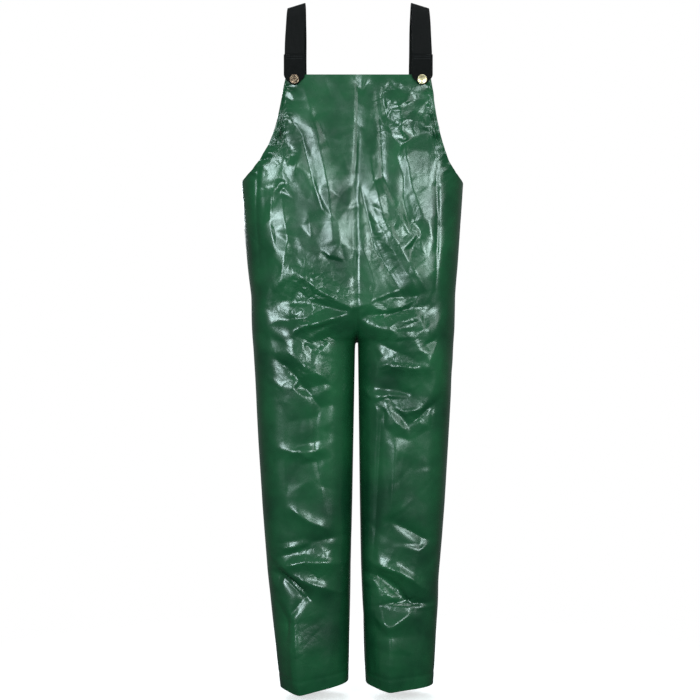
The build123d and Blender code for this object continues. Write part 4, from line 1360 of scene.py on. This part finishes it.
# Hard-drawn phosphor bronze wire, plated: bright, with fine scratches along it from the die.
plated_wire, tree = new_material("plated_spring_wire")
where = add_node(tree, "ShaderNodeTexCoord").outputs["Object"]
scratch = add_node(tree, "ShaderNodeTexNoise", {"Scale": 1 / 0.0006, "Detail": 3.0}, {"Vector": where})
worn = add_node(
    tree, "ShaderNodeMapRange", {"To Min": 0.2, "To Max": 0.45}, {"Value": scratch.outputs["Fac"]}
)
wire = add_node(
    tree,
    "ShaderNodeBsdfPrincipled",
    {"Metallic": 1.0, "Base Color": srgb("#B9B9B4")},
    {"Roughness": worn.outputs[0]},
)
add_node(tree, "ShaderNodeOutputMaterial", {}, {"Surface": wire.outputs[0]})


def refinish(node, material):
    """Give a CAD node's object a finished material in every slot."""
    part = bpy.data.objects[node]
    if not part.material_slots:
        part.data.materials.append(material)
    for slot in part.material_slots:
        slot.material = material


for side_name in ("left", "right"):
    for part in ("stud", "stud_post", "snap_socket"):
        refinish(f"{side_name}_{part}", drawn_brass)
    refinish(f"{side_name}_socket_spring", plated_wire)

# %% Raise the caps
cap_low, cap_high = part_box("left_snap_cap")
cap_radius = (cap_high[0] - cap_low[0]) / 2
cap_back = tab_low[1]
# Each step from the tab's face outwards: (radius as a share of the cap's, distance out in metres).
domed = [(1.00, 0.0005), (1.03, 0.0010), (1.00, 0.0016), (0.92, 0.0018), (0.84, 0.0016), (0.76, 0.0018),
         (0.60, 0.0022), (0.35, 0.0026), (0.12, 0.0027)]
ringed = [(1.00, 0.0005), (1.03, 0.0010), (1.00, 0.0018), (0.88, 0.0022), (0.70, 0.0021), (0.60, 0.0012),
          (0.50, 0.0009), (0.34, 0.0009), (0.28, 0.0014), (0.12, 0.0016)]


def raised_cap(side_name, side, steps, finish):
    """A cap pressed from a disc: each step extrudes the front face outwards and scales it."""
    bpy.ops.object.select_all(action="DESELECT")
    bpy.ops.mesh.primitive_circle_add(
        vertices=40,
        radius=cap_radius * 0.97,
        fill_type="NGON",
        location=(side * brace_x, cap_back, stud_z),
        rotation=(math.pi / 2, 0, 0),
    )
    cap = bpy.context.object
    cap.name = cap.data.name = f"{side_name}_cap_dome"
    bpy.ops.object.transform_apply(location=True, rotation=True, scale=True)
    bpy.ops.object.mode_set(mode="EDIT")
    bpy.ops.mesh.select_all(action="SELECT")
    radius, out = 0.97, 0.0
    for next_radius, next_out in steps:
        bpy.ops.mesh.extrude_region_move(TRANSFORM_OT_translate={"value": (0, out - next_out, 0)})
        bpy.ops.transform.resize(
            value=(next_radius / radius, 1, next_radius / radius),
            center_override=(side * brace_x, cap_back - next_out, stud_z),
        )
        radius, out = next_radius, next_out
    bpy.ops.mesh.select_all(action="SELECT")
    bpy.ops.mesh.normals_make_consistent(inside=False)
    bpy.ops.object.mode_set(mode="OBJECT")
    smooth = cap.modifiers.new("smooth", "SUBSURF")
    smooth.levels = smooth.render_levels = 1
    bpy.ops.object.modifier_apply(modifier=smooth.name)
    bpy.ops.object.shade_smooth()
    cap.data.materials.append(finish)
    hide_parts(f"{side_name}_snap_cap")
    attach(cap, f"{side_name}_brace_end")
    return cap


for side_name, side, steps, finish in (("left", 1, domed, drawn_brass), ("right", -1, ringed, dark_brown_brass)):
    cap = raised_cap(side_name, side, steps, finish)
    print(cap.name, len(cap.data.polygons), "faces")

# %% [markdown]
# ## The two boxes
# Both boxes, the CAD model's and the visual model's, are printed side by side.

# %% Write the boxes and finish
boxes = {"cad": cad_box, "visual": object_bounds()}
for name, box in boxes.items():
    print(name, [[round(v, 4) for v in corner] for corner in box])
